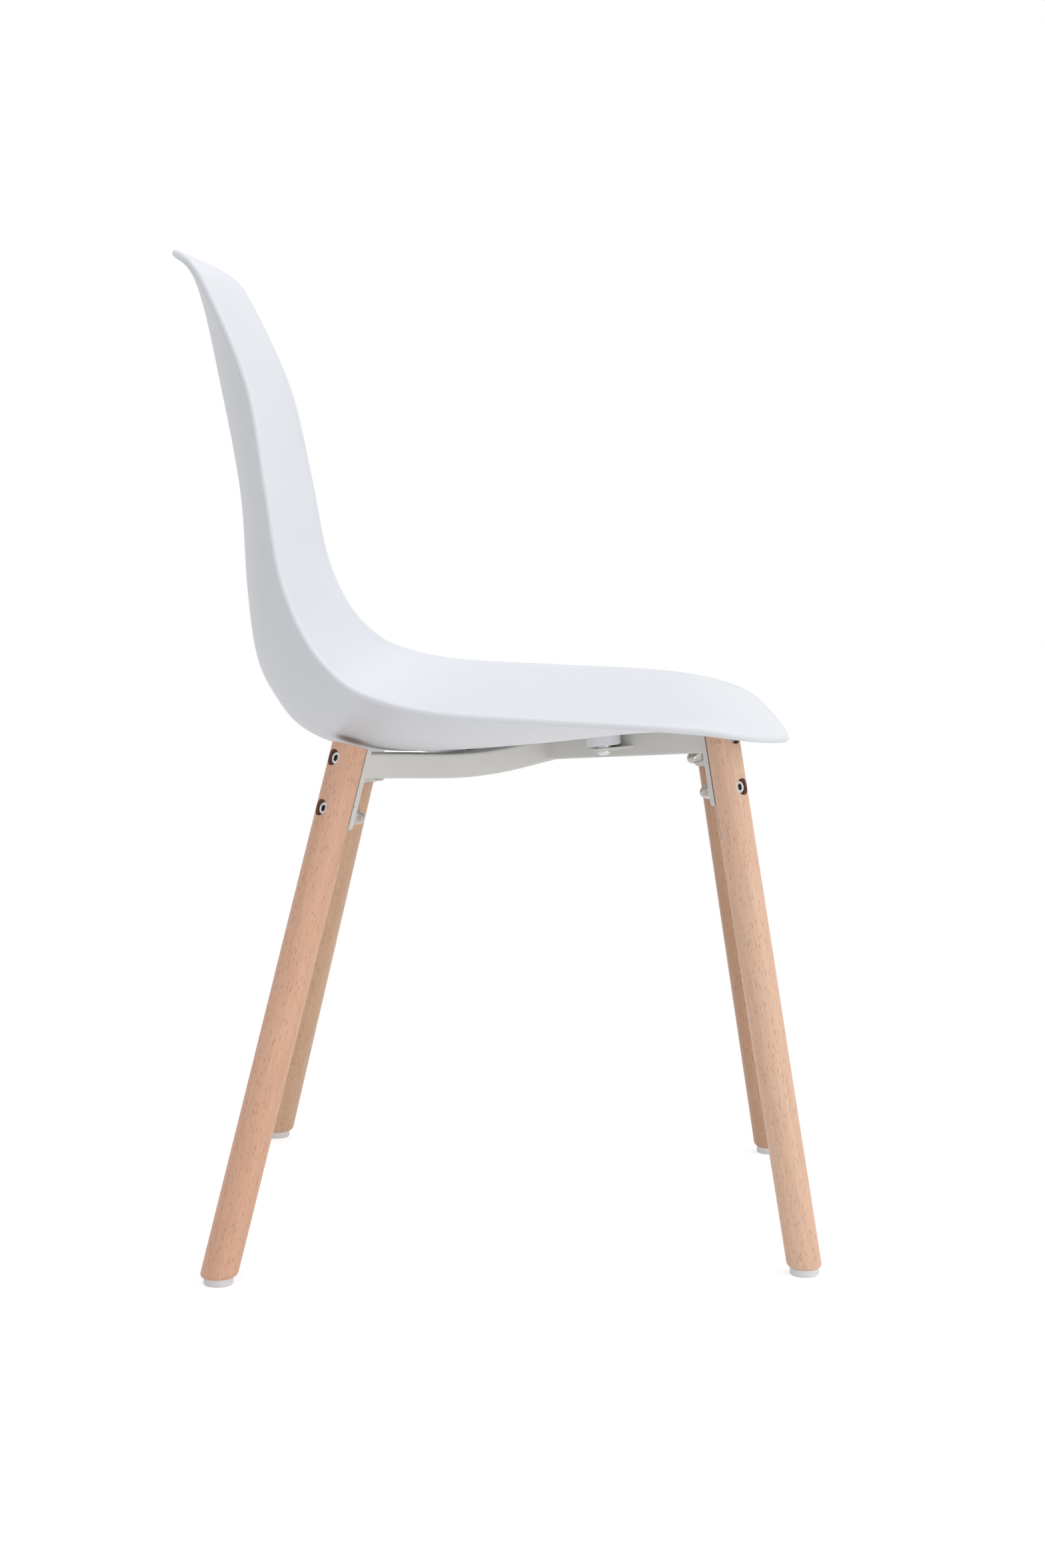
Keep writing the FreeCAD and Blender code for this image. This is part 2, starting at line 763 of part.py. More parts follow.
def make_leg(corner):
    """A round leg with a flat for its plate, two counterbored bolt holes and a level foot end."""
    end = CORNERS[corner][1]
    name = "leg_" + corner
    body = new_body(name)
    lean = math.radians(size("lean_" + end))
    up = bolt_point(end)[1]
    below = (up - size("pad_height")) / math.cos(lean)
    above = size("leg_above_bolt_" + end)
    radius = size("leg_diameter_" + end) / 2
    spare = radius * math.tan(lean)
    shaft = primitive(body, "AdditiveCylinder", name + "Shaft",
                      Placement(Vector(0, 0, -below - spare), Rotation()),
                      Radius="sizes.leg_diameter_%s / 2" % end)
    shaft.Height = below + spare + above
    foot = primitive(body, "SubtractiveBox", name + "FootCut",
                     Length="sizes.leg_diameter_%s * 2" % end, Width="sizes.leg_diameter_%s * 2" % end,
                     Height="sizes.leg_diameter_%s" % end)
    wide = size("leg_diameter_" + end)
    foot.Placement = (Placement(Vector(0, 0, -below), Rotation(Vector(0, 1, 0), size("lean_" + end)))
                      * Placement(Vector(-wide, -wide, -wide), Rotation()))

    def foot_edge(edge):
        """The oval edge round the level foot end."""
        return edge.BoundBox.ZMax < -below + 2 * spare and edge.Length > wide * 2

    round_edges(body, name + "FootRound", foot_edge, "sizes.leg_end_round")
    flat_low = size("bolt_spacing") + size("plate_end") + size("hole_gap")
    primitive(body, "SubtractiveBox", name + "Flat",
              Placement(Vector(-size("flat_" + end) - wide, -wide, -flat_low), Rotation()),
              Length="sizes.leg_diameter_%s" % end, Width="sizes.leg_diameter_%s * 2" % end,
              Height="sizes.leg_diameter_%s * 4" % end)
    for label, drop in (("Upper", 0.0), ("Lower", size("bolt_spacing"))):
        primitive(body, "SubtractiveCylinder", name + label + "Hole",
                  Placement(Vector(-wide, 0, -drop), ALONG_X),
                  Radius="sizes.bolt_hole", Height="sizes.leg_diameter_%s * 2" % end)
        primitive(body, "SubtractiveCylinder", name + label + "Bore",
                  Placement(Vector(radius - size("bore_deep"), 0, -drop), ALONG_X),
                  Radius="sizes.bore_diameter / 2", Height="sizes.bore_deep * 2")
    nail = primitive(body, "SubtractiveCylinder", name + "NailHole",
                     Radius="sizes.nail_bore", Height="sizes.nail_long * 2")
    tip = size("nail_head_tall") + size("nail_long") - size("pad_height") + size("hole_gap")
    nail.Placement = (Placement(Vector(0, 0, -below), Rotation(Vector(0, 1, 0), size("lean_" + end)))
                      * Placement(Vector(0, 0, tip - 2 * size("nail_long")), Rotation()))
    body.Placement = leg_frame(corner)
    nodes[name] = body


def make_plate(corner):
    """The plate between an arm and a leg: rounded lower corners and two bolt holes."""
    end = CORNERS[corner][1]
    name = "leg_plate_" + corner
    body = new_body(name)
    flat = size("flat_" + end)
    half = size("plate_width") / 2
    top = size("leg_above_bolt_" + end)
    low = -size("bolt_spacing") - size("plate_end")
    slab = primitive(body, "AdditiveBox", name + "Slab",
                     Placement(Vector(-flat - size("plate_thick"), -half, low), Rotation()),
                     Length="sizes.plate_thick", Width="sizes.plate_width")
    slab.Height = top - low

    def low_corner(edge):
        """One of the two lower corners, across the plate's thickness."""
        box = edge.BoundBox
        return box.ZMax < low + FINE and box.XLength > size("plate_thick") / 2 and box.YLength < FINE

    round_edges(body, name + "Corners", low_corner, "sizes.plate_corner")
    for label, drop in (("Upper", 0.0), ("Lower", size("bolt_spacing"))):
        primitive(body, "SubtractiveCylinder", name + label + "Hole",
                  Placement(Vector(-flat - 2 * size("plate_thick"), 0, -drop), ALONG_X),
                  Radius="sizes.bolt_hole", Height="sizes.plate_thick * 3")
    body.Placement = leg_frame(corner)
    nodes[name] = body


def make_tab(corner):
    """A tab on an arm's side: a round end about the screw, widening to its welded base."""
    name = "seat_tab_" + corner
    side = TAB_SIDE[corner]
    body = new_body(name)
    face = side * size("tube_side") / 2
    centre = side * (size("tube_side") / 2 + size("tab_out"))
    half = size("tab_base") / 2
    radius = size("tab_end")
    # Tangent from each base corner to the round end
    tangent = math.acos(radius / math.hypot(half, size("tab_out")))
    angle = math.atan2(-size("tab_out"), half) + tangent
    touch = Vector(math.cos(angle) * radius, side * math.sin(angle) * radius + centre, 0)
    mirrored = Vector(-touch.x, touch.y, 0)
    tip = Vector(0, centre + side * radius, 0)
    sketch = new_sketch(body, name + "Sketch", "XY_Plane")
    add_loop(sketch, [
        Part.LineSegment(Vector(-half, face, 0), Vector(half, face, 0)),
        Part.LineSegment(Vector(half, face, 0), touch),
        Part.Arc(touch, tip, mirrored),
        Part.LineSegment(mirrored, Vector(-half, face, 0)),
    ])
    pad = body.newObject("PartDesign::Pad", name + "Pad")
    pad.Profile = sketch
    pad.Reversed = True
    pad.setExpression("Length", "sizes.tab_thick")
    primitive(body, "SubtractiveCylinder", name + "Hole",
              Placement(Vector(0, centre, -2 * size("tab_thick")), Rotation()),
              Radius="sizes.screw_hole", Height="sizes.tab_thick * 4")
    body.Placement = tab_frame(corner) * Placement(Vector(0, 0, -size("tab_below")), Rotation())
    nodes[name] = body


def make_pad(corner):
    """A round plastic glide with a sunk seat for its nail's head."""
    end = CORNERS[corner][1]
    name = "foot_pad_" + corner
    body = new_body(name)
    primitive(body, "AdditiveCylinder", name + "Disc", Radius="sizes.pad_diameter / 2",
              Height="sizes.pad_height")

    def floor_edge(edge):
        """The lower outer edge."""
        return edge.BoundBox.ZMax < FINE

    round_edges(body, name + "Round", floor_edge, "sizes.pad_round")
    primitive(body, "SubtractiveCylinder", name + "NailHole",
              Placement(Vector(0, 0, -size("pad_height")), Rotation()),
              Radius="sizes.nail_bore", Height="sizes.pad_height * 3")
    primitive(body, "SubtractiveCylinder", name + "HeadSeat",
              Placement(Vector(0, 0, -size("pad_height")), Rotation()),
              Radius="sizes.nail_head / 2 + sizes.hole_gap",
              Height="sizes.pad_height + 2 * sizes.nail_head_tall")
    body.Placement = arm_frame(corner) * Placement(Vector(size("foot_reach_" + end), 0, 0), Rotation())
    nodes[name] = body


def group(name, master, places):
    """One node of identical pieces: placed links to a master, kept as separate solids."""
    links = []
    for index, place in enumerate(places):
        link = doc.addObject("App::Link", "%s_%d" % (name, index + 1))
        link.LinkedObject = master
        link.LinkTransform = False
        link.Placement = place
        links.append(link)
    compound = doc.addObject("Part::Compound", name)
    compound.Label = name
    compound.Links = links
    nodes[name] = compound


def make_leg_bolts():
    """Socket-head bolts, head outward. The frame is the leg's, the origin under the head."""
    for end, corners in (("front", ("front_left", "front_right")), ("rear", ("rear_left", "rear_right"))):
        name = "leg_bolts_" + end
        body = new_body(name + "_pattern")
        seat_at = size("leg_diameter_" + end) / 2 - size("bore_deep")
        tip = -size("flat_" + end) - size("plate_thick") - size("nut_tall") - size("thread_gap")
        shank = primitive(body, "AdditiveCylinder", name + "Shank",
                          Placement(Vector(tip, 0, 0), ALONG_X), Radius="sizes.bolt_diameter / 2")
        shank.Height = seat_at - tip
        primitive(body, "AdditiveCylinder", name + "Head",
                  Placement(Vector(seat_at, 0, 0), ALONG_X),
                  Radius="sizes.head_diameter / 2", Height="sizes.head_tall")
        primitive(body, "SubtractivePrism", name + "Socket",
                  Placement(Vector(seat_at + size("head_tall") - size("hex_deep"), 0, 0), ALONG_X),
                  Polygon="6", Circumradius="sizes.key_circle",
                  Height="sizes.hex_deep * 2")
        places = []
        for corner in corners:
            for drop in (0.0, size("bolt_spacing")):
                places.append(leg_frame(corner) * Placement(Vector(0, 0, -drop), Rotation()))
        group(name, body, places)


def make_nuts():
    """Dome nuts on the lower bolts, and plain nuts welded inside the tube ends."""
    dome = new_body("cap_nut_pattern")
    primitive(dome, "AdditivePrism", "CapHex", Polygon="6",
              Circumradius="sizes.nut_circle", Height="sizes.cap_tall")
    primitive(dome, "AdditiveSphere", "CapDome",
              Placement(Vector(0, 0, size("cap_tall")), Rotation()), Radius="sizes.dome_diameter / 2")
    primitive(dome, "SubtractiveCylinder", "CapThread",
              Placement(Vector(0, 0, -size("cap_tall")), Rotation()),
              Radius="sizes.thread_bore", Height="2 * sizes.cap_tall")
    plain = new_body("weld_nut_pattern")
    primitive(plain, "AdditivePrism", "NutHex", Polygon="6",
              Circumradius="sizes.nut_circle", Height="sizes.nut_tall")
    primitive(plain, "SubtractiveCylinder", "NutThread",
              Placement(Vector(0, 0, -size("nut_tall")), Rotation()),
              Radius="sizes.thread_bore", Height="sizes.nut_tall * 3")
    inward = Rotation(Vector(0, 1, 0), -RIGHT_ANGLE)
    for name, master, drop in (("cap_nuts", dome, size("bolt_spacing")), ("weld_nuts", plain, 0.0)):
        places = []
        for corner, (_, end) in CORNERS.items():
            at = -size("flat_" + end) - size("plate_thick")
            places.append(leg_frame(corner) * Placement(Vector(at, 0, -drop), inward))
        group(name, master, places)


def make_seat_fixings():
    """Spacers on the tabs, screws up through them and threaded inserts in the bosses."""
    spacer = new_body("seat_spacer_pattern")
    primitive(spacer, "AdditiveCylinder", "SpacerRing", Radius="sizes.spacer_diameter / 2",
              Height="sizes.spacer_thick")
    primitive(spacer, "SubtractiveCylinder", "SpacerHole",
              Placement(Vector(0, 0, -size("spacer_thick")), Rotation()),
              Radius="sizes.screw_hole", Height="sizes.spacer_thick * 3")
    insert = new_body("shell_insert_pattern")
    primitive(insert, "AdditiveCylinder", "InsertBarrel",
              Placement(Vector(0, 0, size("spacer_thick")), Rotation()),
              Radius="sizes.insert_diameter / 2", Height="sizes.insert_long")
    primitive(insert, "SubtractiveCylinder", "InsertThread",
              Radius="sizes.screw_bore", Height="sizes.insert_long * 3")
    screw = new_body("seat_screw_pattern")
    shank = primitive(screw, "AdditiveCylinder", "ScrewShank",
                      Placement(Vector(0, 0, -size("tab_thick")), Rotation()),
                      Radius="sizes.screw_diameter / 2")
    shank.setExpression(
        "Height", "sizes.tab_thick + sizes.spacer_thick + sizes.insert_long - sizes.screw_short")
    # The head is a low dome: a cap of a sphere under a thin rim
    half = size("screw_head") / 2
    seat_z = -size("tab_thick")
    rim = seat_z - size("screw_rim")
    low = seat_z - size("screw_head_tall")
    sphere = (half ** 2 + (rim - low) ** 2) / 2 / (rim - low)
    turn = math.asin(half / sphere) / 2
    bulge = Vector(sphere * math.sin(turn), low + sphere * (1 - math.cos(turn)), 0)
    sketch = new_sketch(screw, "ScrewHeadSketch", "XZ_Plane")
    add_loop(sketch, [
        Part.LineSegment(Vector(0, seat_z, 0), Vector(0, low, 0)),
        Part.Arc(Vector(0, low, 0), bulge, Vector(half, rim, 0)),
        Part.LineSegment(Vector(half, rim, 0), Vector(half, seat_z, 0)),
        Part.LineSegment(Vector(half, seat_z, 0), Vector(0, seat_z, 0)),
    ])
    head = screw.newObject("PartDesign::Revolution", "ScrewHead")
    head.Profile = sketch
    head.ReferenceAxis = (sketch, ["V_Axis"])
    head.Angle = 360
    primitive(screw, "SubtractivePrism", "ScrewSocket",
              Placement(Vector(0, 0, low - size("hex_deep") / 2), Rotation()),
              Polygon="6", Circumradius="sizes.screw_key_circle", Height="sizes.hex_deep")
    places = [screw_place(corner) for corner in CORNERS]
    group("seat_spacers", spacer, places)
    group("shell_inserts", insert, places)
    group("seat_screws", screw, places)


def make_nails():
    """Nails that hold the glides, driven up into the leg ends."""
    nail = new_body("pad_nail_pattern")
    primitive(nail, "AdditiveCylinder", "NailHead",
              Placement(Vector(0, 0, size("nail_head_tall")), Rotation()),
              Radius="sizes.nail_head / 2", Height="sizes.nail_head_tall")
    primitive(nail, "AdditiveCylinder", "NailShank",
              Placement(Vector(0, 0, size("nail_head_tall")), Rotation()),
              Radius="sizes.nail_diameter / 2", Height="sizes.nail_long")
    places = []
    for corner, (_, end) in CORNERS.items():
        places.append(arm_frame(corner) * Placement(Vector(size("foot_reach_" + end), 0, 0), Rotation()))
    group("pad_nails", nail, places)


def make_seat():
    """The moulded seat with its four drafted bosses, bored for their inserts."""
    solid = shell_solid(seat)
    hole_radius = size("insert_diameter") / 2 + size("thread_gap")
    for corner in CORNERS:
        place = screw_place(corner)
        axis = place.multVec(Vector(0, 0, 0))
        fore = size("hub_offset") - axis.y
        start = size("spacer_thick")
        under = seat.underside(axis.x, fore)
        tall = under + seat.wall / 2 - axis.z - start
        radius = size("boss_diameter") / 2
        boss = Part.makeCone(radius - size("boss_draft") / 2, radius, tall)
        hole = Part.makeCylinder(hole_radius, size("insert_long") + size("hole_gap"))
        for piece in (boss, hole):
            piece.Placement = place * Placement(Vector(0, 0, start), Rotation())
        solid = solid.fuse(boss).cut(hole)
    feature = doc.addObject("Part::Feature", "seat_shell")
    feature.Label = "seat_shell"
    feature.Shape = solid
    nodes["seat_shell"] = feature


make_seat()
make_frame()
for corner_name in CORNERS:
    make_leg(corner_name)
    make_plate(corner_name)
    make_tab(corner_name)
    make_pad(corner_name)
make_leg_bolts()
make_nuts()
make_seat_fixings()
make_nails()
doc.recompute()

# Every object is sound before anything is written
for item in doc.Objects:
    if "Invalid" in item.State or "Error" in item.State:
        raise RuntimeError("failed: " + item.Name)
for name, node in nodes.items():
    if node.Shape.isNull() or not node.Shape.isValid():
        raise RuntimeError("bad shape: " + name)
    if not node.Shape.Solids:
        raise RuntimeError("no solid: " + name)

whole = FreeCAD.BoundBox()
for name, node in nodes.items():
    whole.add(node.Shape.BoundBox)
    node.Shape.exportStep("parts/%s.step" % name)
print("box X %.2f %.2f Y %.2f %.2f Z %.2f %.2f" % (
    whole.XMin, whole.XMax, whole.YMin, whole.YMax, whole.ZMin, whole.ZMax))
print("nodes", len(nodes), "solids", sum(len(n.Shape.Solids) for n in nodes.values()))
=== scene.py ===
import math

import bmesh
import bpy
import numpy as np
from mathutils import Matrix, Vector


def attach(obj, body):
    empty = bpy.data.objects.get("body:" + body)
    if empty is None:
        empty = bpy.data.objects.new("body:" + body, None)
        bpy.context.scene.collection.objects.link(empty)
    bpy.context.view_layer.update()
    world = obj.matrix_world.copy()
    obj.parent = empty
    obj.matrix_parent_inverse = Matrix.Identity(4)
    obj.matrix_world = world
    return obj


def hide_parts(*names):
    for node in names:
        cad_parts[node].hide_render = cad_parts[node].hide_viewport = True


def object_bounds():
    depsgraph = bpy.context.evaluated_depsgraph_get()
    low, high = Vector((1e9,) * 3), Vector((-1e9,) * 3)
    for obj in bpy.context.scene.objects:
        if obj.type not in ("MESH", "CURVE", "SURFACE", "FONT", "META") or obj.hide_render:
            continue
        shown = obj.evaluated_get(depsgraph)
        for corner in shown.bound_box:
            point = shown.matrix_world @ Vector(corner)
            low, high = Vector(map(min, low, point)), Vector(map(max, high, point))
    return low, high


# Looks of a moulded plastic shell chair. Metres in the scene; sizes are written in millimetres.

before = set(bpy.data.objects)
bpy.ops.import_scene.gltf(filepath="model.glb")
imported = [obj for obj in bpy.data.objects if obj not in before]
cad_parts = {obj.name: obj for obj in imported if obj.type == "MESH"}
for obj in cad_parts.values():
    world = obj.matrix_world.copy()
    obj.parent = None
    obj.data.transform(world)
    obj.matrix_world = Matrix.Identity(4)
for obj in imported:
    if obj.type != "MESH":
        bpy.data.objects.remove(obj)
cad_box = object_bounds()
MM = 0.001

# Sizes shared with the solids, in millimetres and degrees
HUB_OFFSET = -42.9
ARM_ANGLE = 41.0
FOOT_HEIGHT = 6.0
CORNERS = {
    "front_right": (-90 - ARM_ANGLE, "front"),
    "front_left": (-90 + ARM_ANGLE, "front"),
    "rear_left": (90 - ARM_ANGLE, "rear"),
    "rear_right": (90 + ARM_ANGLE, "rear"),
}
# Where the upper bolt crosses the leg's axis (outward, up), the lean, the diameter, the length
# above that bolt and the depth of the plate from the axis
ENDS = {
    "front": {"bolt": (187.630, 427.983), "lean": 12.36, "diameter": 28.2, "above": 8.11, "flat": 8.821},
    "rear": {"bolt": (213.538, 408.859), "lean": 17.57, "diameter": 29.4, "above": 12.72, "flat": 9.751},
}
BOLT_SPACING = 41.5

# Legs: a gap beside the plate, dark wood painted on the flat and in the bolt bores as shade, and soft edges
FLAT_GAP = {"front": 1.8, "rear": 1.2}
FLAT_OVERRUN = 0.3
FLAT_SHADE_REACH = 0.45
BORE_SHADE_MARGIN = 0.5
LEG_TOP_ROUND = 0.6
LEG_TOP_STEPS = 3
LEG_FOOT_ROUND = 3.5
LEG_FOOT_STEPS = 7
LEG_EDGE_ROUND = 0.35
LEG_RING_BELOW = 40.0

# Fixings
PLATE_THICK = 4.5
PLATE_END = 12.0
BORE_DIAMETER = 13.6
BORE_DEEP = 9.3
HOLE_DIAMETER = 6.6
BOLT_DIAMETER = 6.0
HEAD_DIAMETER = 11.0
HEAD_TALL = 6.0
HEX_KEY = 5.0
HEX_DEEP = 3.0
NUT_TALL = 5.0
NUT_ACROSS = 10.5
CAP_TALL = 11.5
DOME_DIAMETER = 10.2
THREAD_GAP = 0.1
BOLT_TIP_CHAMFER = 0.6
HEAD_FOOT_CHAMFER = (0.15, 0.3)
HEAD_ROUND = 0.9
HEAD_ROUND_STEPS = 5
HEAD_DISH = 0.25
HEAD_DISH_SHARES = (0.66, 0.62)
SOCKET_ROUND = 0.12
SOCKET_SHARE = 0.62
SOCKET_TOP_MARGIN = 0.3
CAP_HEX_SHORT = 0.4
CAP_HEX_ROUND = 0.5
CAP_HEX_STEPS = 3
DOME_NECK = ((0.3, 2.0), (0.05, 0.6))
DOME_STEPS = 14

# Inner corners of the crossing tubes about the hub, and the seams in them
HUB_CORNERS = [(-13.0, 0.0), (13.0, 0.0), (0.0, -14.9), (0.0, 14.9)]
HUB_WELD_RADIUS = 1.7
HUB_WELD_LOW = 396.0
HUB_WELD_HIGH = 411.5
HUB_WELD_STEPS = 40
HUB_WELD_RIPPLES = 9
HUB_WELD_RIPPLE_TALL = 0.16
# How fast a seam swells from its ends, and how thick it is there, as shares of its length and radius
HUB_WELD_SWELL = 6
HUB_WELD_END = 0.3

# Sides of each kind of round piece, and the angle in degrees under which its faces shade smooth
SIDES = {"leg": 128, "bore": 64, "bolt": 72, "dome": 64, "boss": 96, "weld": 20}
SMOOTH_UNDER = {"seat": 40, "leg": 32, "fixing": 30, "weld": 60}
# Edges sharper than this, in degrees, are softened
SHARP_LEG = 35
SHARP_FIXING = 40

# The seat: same stations as the solid
PAN_HEIGHT = 407.0
BACK_RISE = 407.0
LIP_REACH = 199.0
BACK_REACH = 314.0
SEAT_HALF_WIDTH = 236.0
WALL = 4.6
RIM_BEAD = 6.0
FRONT_CORNER = 75.0
TOP_CORNER = 22.0
CORNER_POWER = 2.5
STATIONS = [
    # centre         rim                     fullness
    ((0.990, 0.036), (1.010, 0.990, 0.059), 2.5),
    ((0.893, 0.065), (1.010, 0.893, 0.076), 2.5),
    ((0.680, 0.083), (1.012, 0.670, 0.098), 2.6),
    ((0.400, 0.060), (1.022, 0.420, 0.109), 2.7),
    ((0.000, 0.024), (1.004, 0.000, 0.118), 2.6),
    ((-0.318, 0.002), (0.983, -0.287, 0.131), 2.7),
    ((-0.525, 0.008), (0.943, -0.462, 0.165), 2.8),
    ((-0.650, 0.044), (0.903, -0.545, 0.211), 2.8),
    ((-0.722, 0.105), (0.875, -0.596, 0.260), 2.7),
    ((-0.774, 0.188), (0.860, -0.636, 0.321), 2.6),
    ((-0.800, 0.328), (0.849, -0.670, 0.405), 2.4),
    ((-0.818, 0.528), (0.805, -0.702, 0.548), 2.3),
    ((-0.872, 0.744), (0.708, -0.756, 0.748), 2.2),
    ((-0.927, 0.945), (0.640, -0.865, 0.938), 2.2),
    ((-0.987, 1.001), (0.634, -0.932, 1.007), 2.2),
]
SKIN_ROWS = 181
SKIN_COLUMNS = 95
SKIN_CROWDING = 0.86
RIM_STEPS = 9
STATION_SAMPLES = 20
SLOPE_STEP = 0.01
NORMAL_STEP = 1.0
CORNER_SAMPLES = 60
SIDE_SAMPLES = 400
RIM_BATCH = 40
INSIDE_ROWS = 2
BEAD_WIDTH = 7.0
BOSS_DIAMETER = 29.6
BOSS_DRAFT = 1.0
BOSS_ROUND = 1.2
BOSS_HOLE = (5.2, 5.6)
BOSS_HOLE_DEEP = 1.0
BOSS_ROUND_STEPS = 4
SPACER_THICK = 2.0
BOSS_TALL = {"front": 15.0, "rear": 15.4}
# Tops of the tabs on the seat screws' axes, and which way each axis points
SCREWS = {
    "front_right": ((-74.545, -90.09, 413.381), (0.0777, 0.0894, 0.993)),
    "front_left": ((74.545, -90.09, 413.381), (-0.0777, 0.0894, 0.993)),
    "rear_left": ((38.349, 39.78, 395.894), (0.0, 0.0, 1.0)),
    "rear_right": ((-38.349, 39.78, 395.894), (0.0, 0.0, 1.0)),
}

# Beech in light, middle and dark tones for each leg; the far legs are set darker and the near front leg
# paler, painted shade and light on one wood
LEG_TONES_LIT_AND_SHADED = {
    "rear_right": ((0.890, 0.536, 0.370), (0.825, 0.472, 0.315), (0.690, 0.368, 0.236)),
    "front_right": ((0.895, 0.600, 0.430), (0.835, 0.525, 0.365), (0.715, 0.420, 0.280)),
    "rear_left": ((0.800, 0.520, 0.345), (0.740, 0.460, 0.295), (0.640, 0.375, 0.232)),
    "front_left": ((0.700, 0.420, 0.268), (0.640, 0.370, 0.230), (0.550, 0.300, 0.180)),
}
GRAIN_SHIFT = 13.7

# Stage, in metres: the floor turns to plain white between two distances from the chair
FLOOR_RADIUS = 9.0
FLOOR_SIDES = 96
WHITE_FROM = 0.45
WHITE_BEYOND = 1.1
FLOOR_GLOW = 0.5
AMBIENT_COLOUR = (0.97, 0.98, 1.0)
AMBIENT_STRENGTH = 0.55
WHITE = (1, 1, 1, 1)
# Softboxes: place, the point they face, size, power in watts and colour
SOFTBOXES = {
    "overhead": ((0.2, -0.5, 2.6), (0, 0, 0.4), (2.4, 2.4), 22.0, (0.96, 0.98, 1.0)),
    "front": ((-0.9, -2.4, 1.4), (0, 0, 0.4), (1.6, 1.8), 12.0, (1.0, 0.99, 0.97)),
    "camera_side": ((-2.6, 0.6, 1.3), (0, 0, 0.4), (1.6, 1.6), 5.0, (1.0, 1.0, 1.0)),
    "legs": ((-2.0, -1.9, 0.45), (0, 0, 0.25), (0.7, 0.9), 7.0, (1.0, 0.98, 0.95)),
}

# Camera: place in metres, angles in radians
CAMERA_PLACE = (-2.29291, -0.0519, 0.68111)
CAMERA_YAW = 0.0131
CAMERA_PITCH = 0.1338
CAMERA_ROLL = -0.006
SENSOR_WIDTH = 36.0
FOCAL_SHARE = 4046.67 / 2353.0


# Materials

class Tree:
    """A node tree under construction."""

    def __init__(self, tree):
        self.nodes = tree.nodes
        self.links = tree.links

    def node(self, kind, **settings):
        made = self.nodes.new("ShaderNode" + kind)
        for key, value in settings.items():
            if key in made.inputs:
                made.inputs[key].default_value = value
            else:
                setattr(made, key, value)
        return made

    def link(self, source, target):
        self.links.new(source, target)

    def maths(self, operation, first, second):
        made = self.node("Math", operation=operation)
        for source, socket in ((first, made.inputs[0]), (second, made.inputs[1])):
            if isinstance(source, (int, float)):
                socket.default_value = source
            else:
                self.link(source, socket)
        return made.outputs[0]

    def seen_ray(self):
        """1 for rays from the camera and those that metal and glass pass on, else 0."""
        path = self.node("LightPath")
        seen = self.maths("MAXIMUM", path.outputs["Is Camera Ray"], path.outputs["Is Glossy Ray"])
        return self.maths("MAXIMUM", seen, path.outputs["Is Transmission Ray"])

    def blend(self, factor, first, second):
        made = self.node("MixShader")
        for source, socket in zip((factor, first, second), made.inputs):
            self.link(source, socket)
        return made.outputs[0]


class Shader(Tree):
    """A node material under construction."""

    def __init__(self, name):
        self.material = bpy.data.materials.new(name)
        self.material.use_nodes = True
        super().__init__(self.material.node_tree)
        self.surface = self.nodes["Principled BSDF"]
        self.surface.name = name + "_surface"

    def place(self, scale=(1, 1, 1), origin=None, turn=None):
        """Coordinates in metres, turned to a piece's own axes if it has them, then stretched."""
        coords = self.node("TexCoord").outputs["Object"]
        if origin is not None:
            local = self.node("Mapping", vector_type="TEXTURE")
            local.inputs["Location"].default_value = origin
            local.inputs["Rotation"].default_value = turn
            self.link(coords, local.inputs["Vector"])
            coords = local.outputs["Vector"]
        stretch = self.node("Mapping", vector_type="POINT")
        stretch.inputs["Scale"].default_value = scale
        self.link(coords, stretch.inputs["Vector"])
        return stretch.outputs["Vector"]

    def noise(self, vector, scale, detail=2.0, roughness=0.5, distortion=0.0):
        made = self.node("TexNoise", Scale=scale, Detail=detail, Roughness=roughness, Distortion=distortion)
        self.link(vector, made.inputs["Vector"])
        return made.outputs["Fac"]

    def ramp(self, value, stops):
        made = self.node("ValToRGB")
        elements = made.color_ramp.elements
        while len(elements) < len(stops):
            elements.new(0.5)
        for element, (at, colour) in zip(elements, stops):
            element.position = at
            element.color = (*colour, 1)
        self.link(value, made.inputs["Fac"])
        return made.outputs["Color"]

    def span(self, value, low, high, out_low, out_high):
        """Map a value from one range onto another, clamped."""
        made = self.node("MapRange")
        limits = {"From Min": low, "From Max": high, "To Min": out_low, "To Max": out_high}
        for key, number in limits.items():
            made.inputs[key].default_value = number
        self.link(value, made.inputs["Value"])
        return made.outputs["Result"]

    def mix(self, factor, first, second, blend="MIX"):
        made = self.node("Mix", data_type="RGBA", blend_type=blend)
        for source, socket in ((factor, made.inputs[0]), (first, made.inputs[6]), (second, made.inputs[7])):
            if isinstance(source, (int, float)):
                socket.default_value = source
            elif isinstance(source, tuple):
                socket.default_value = (*source, 1)
            else:
                self.link(source, socket)
        return made.outputs[2]

    def node_colour(self, made):
        """One random number per cell of a Voronoi pattern."""
        split = self.node("SeparateColor")
        self.link(made.outputs["Color"], split.inputs["Color"])
        return split.outputs["Red"]

    def colour(self, source):
        self.link(source, self.surface.inputs["Base Color"])

    def rough(self, source):
        self.link(source, self.surface.inputs["Roughness"])

    def bump(self, height, strength, distance):
        made = self.node("Bump", Strength=strength, Distance=distance)
        self.link(height, made.inputs["Height"])
        self.link(made.outputs["Normal"], self.surface.inputs["Normal"])

    def set(self, **values):
        for key, value in values.items():
            self.surface.inputs[key.replace("_", " ")].default_value = value


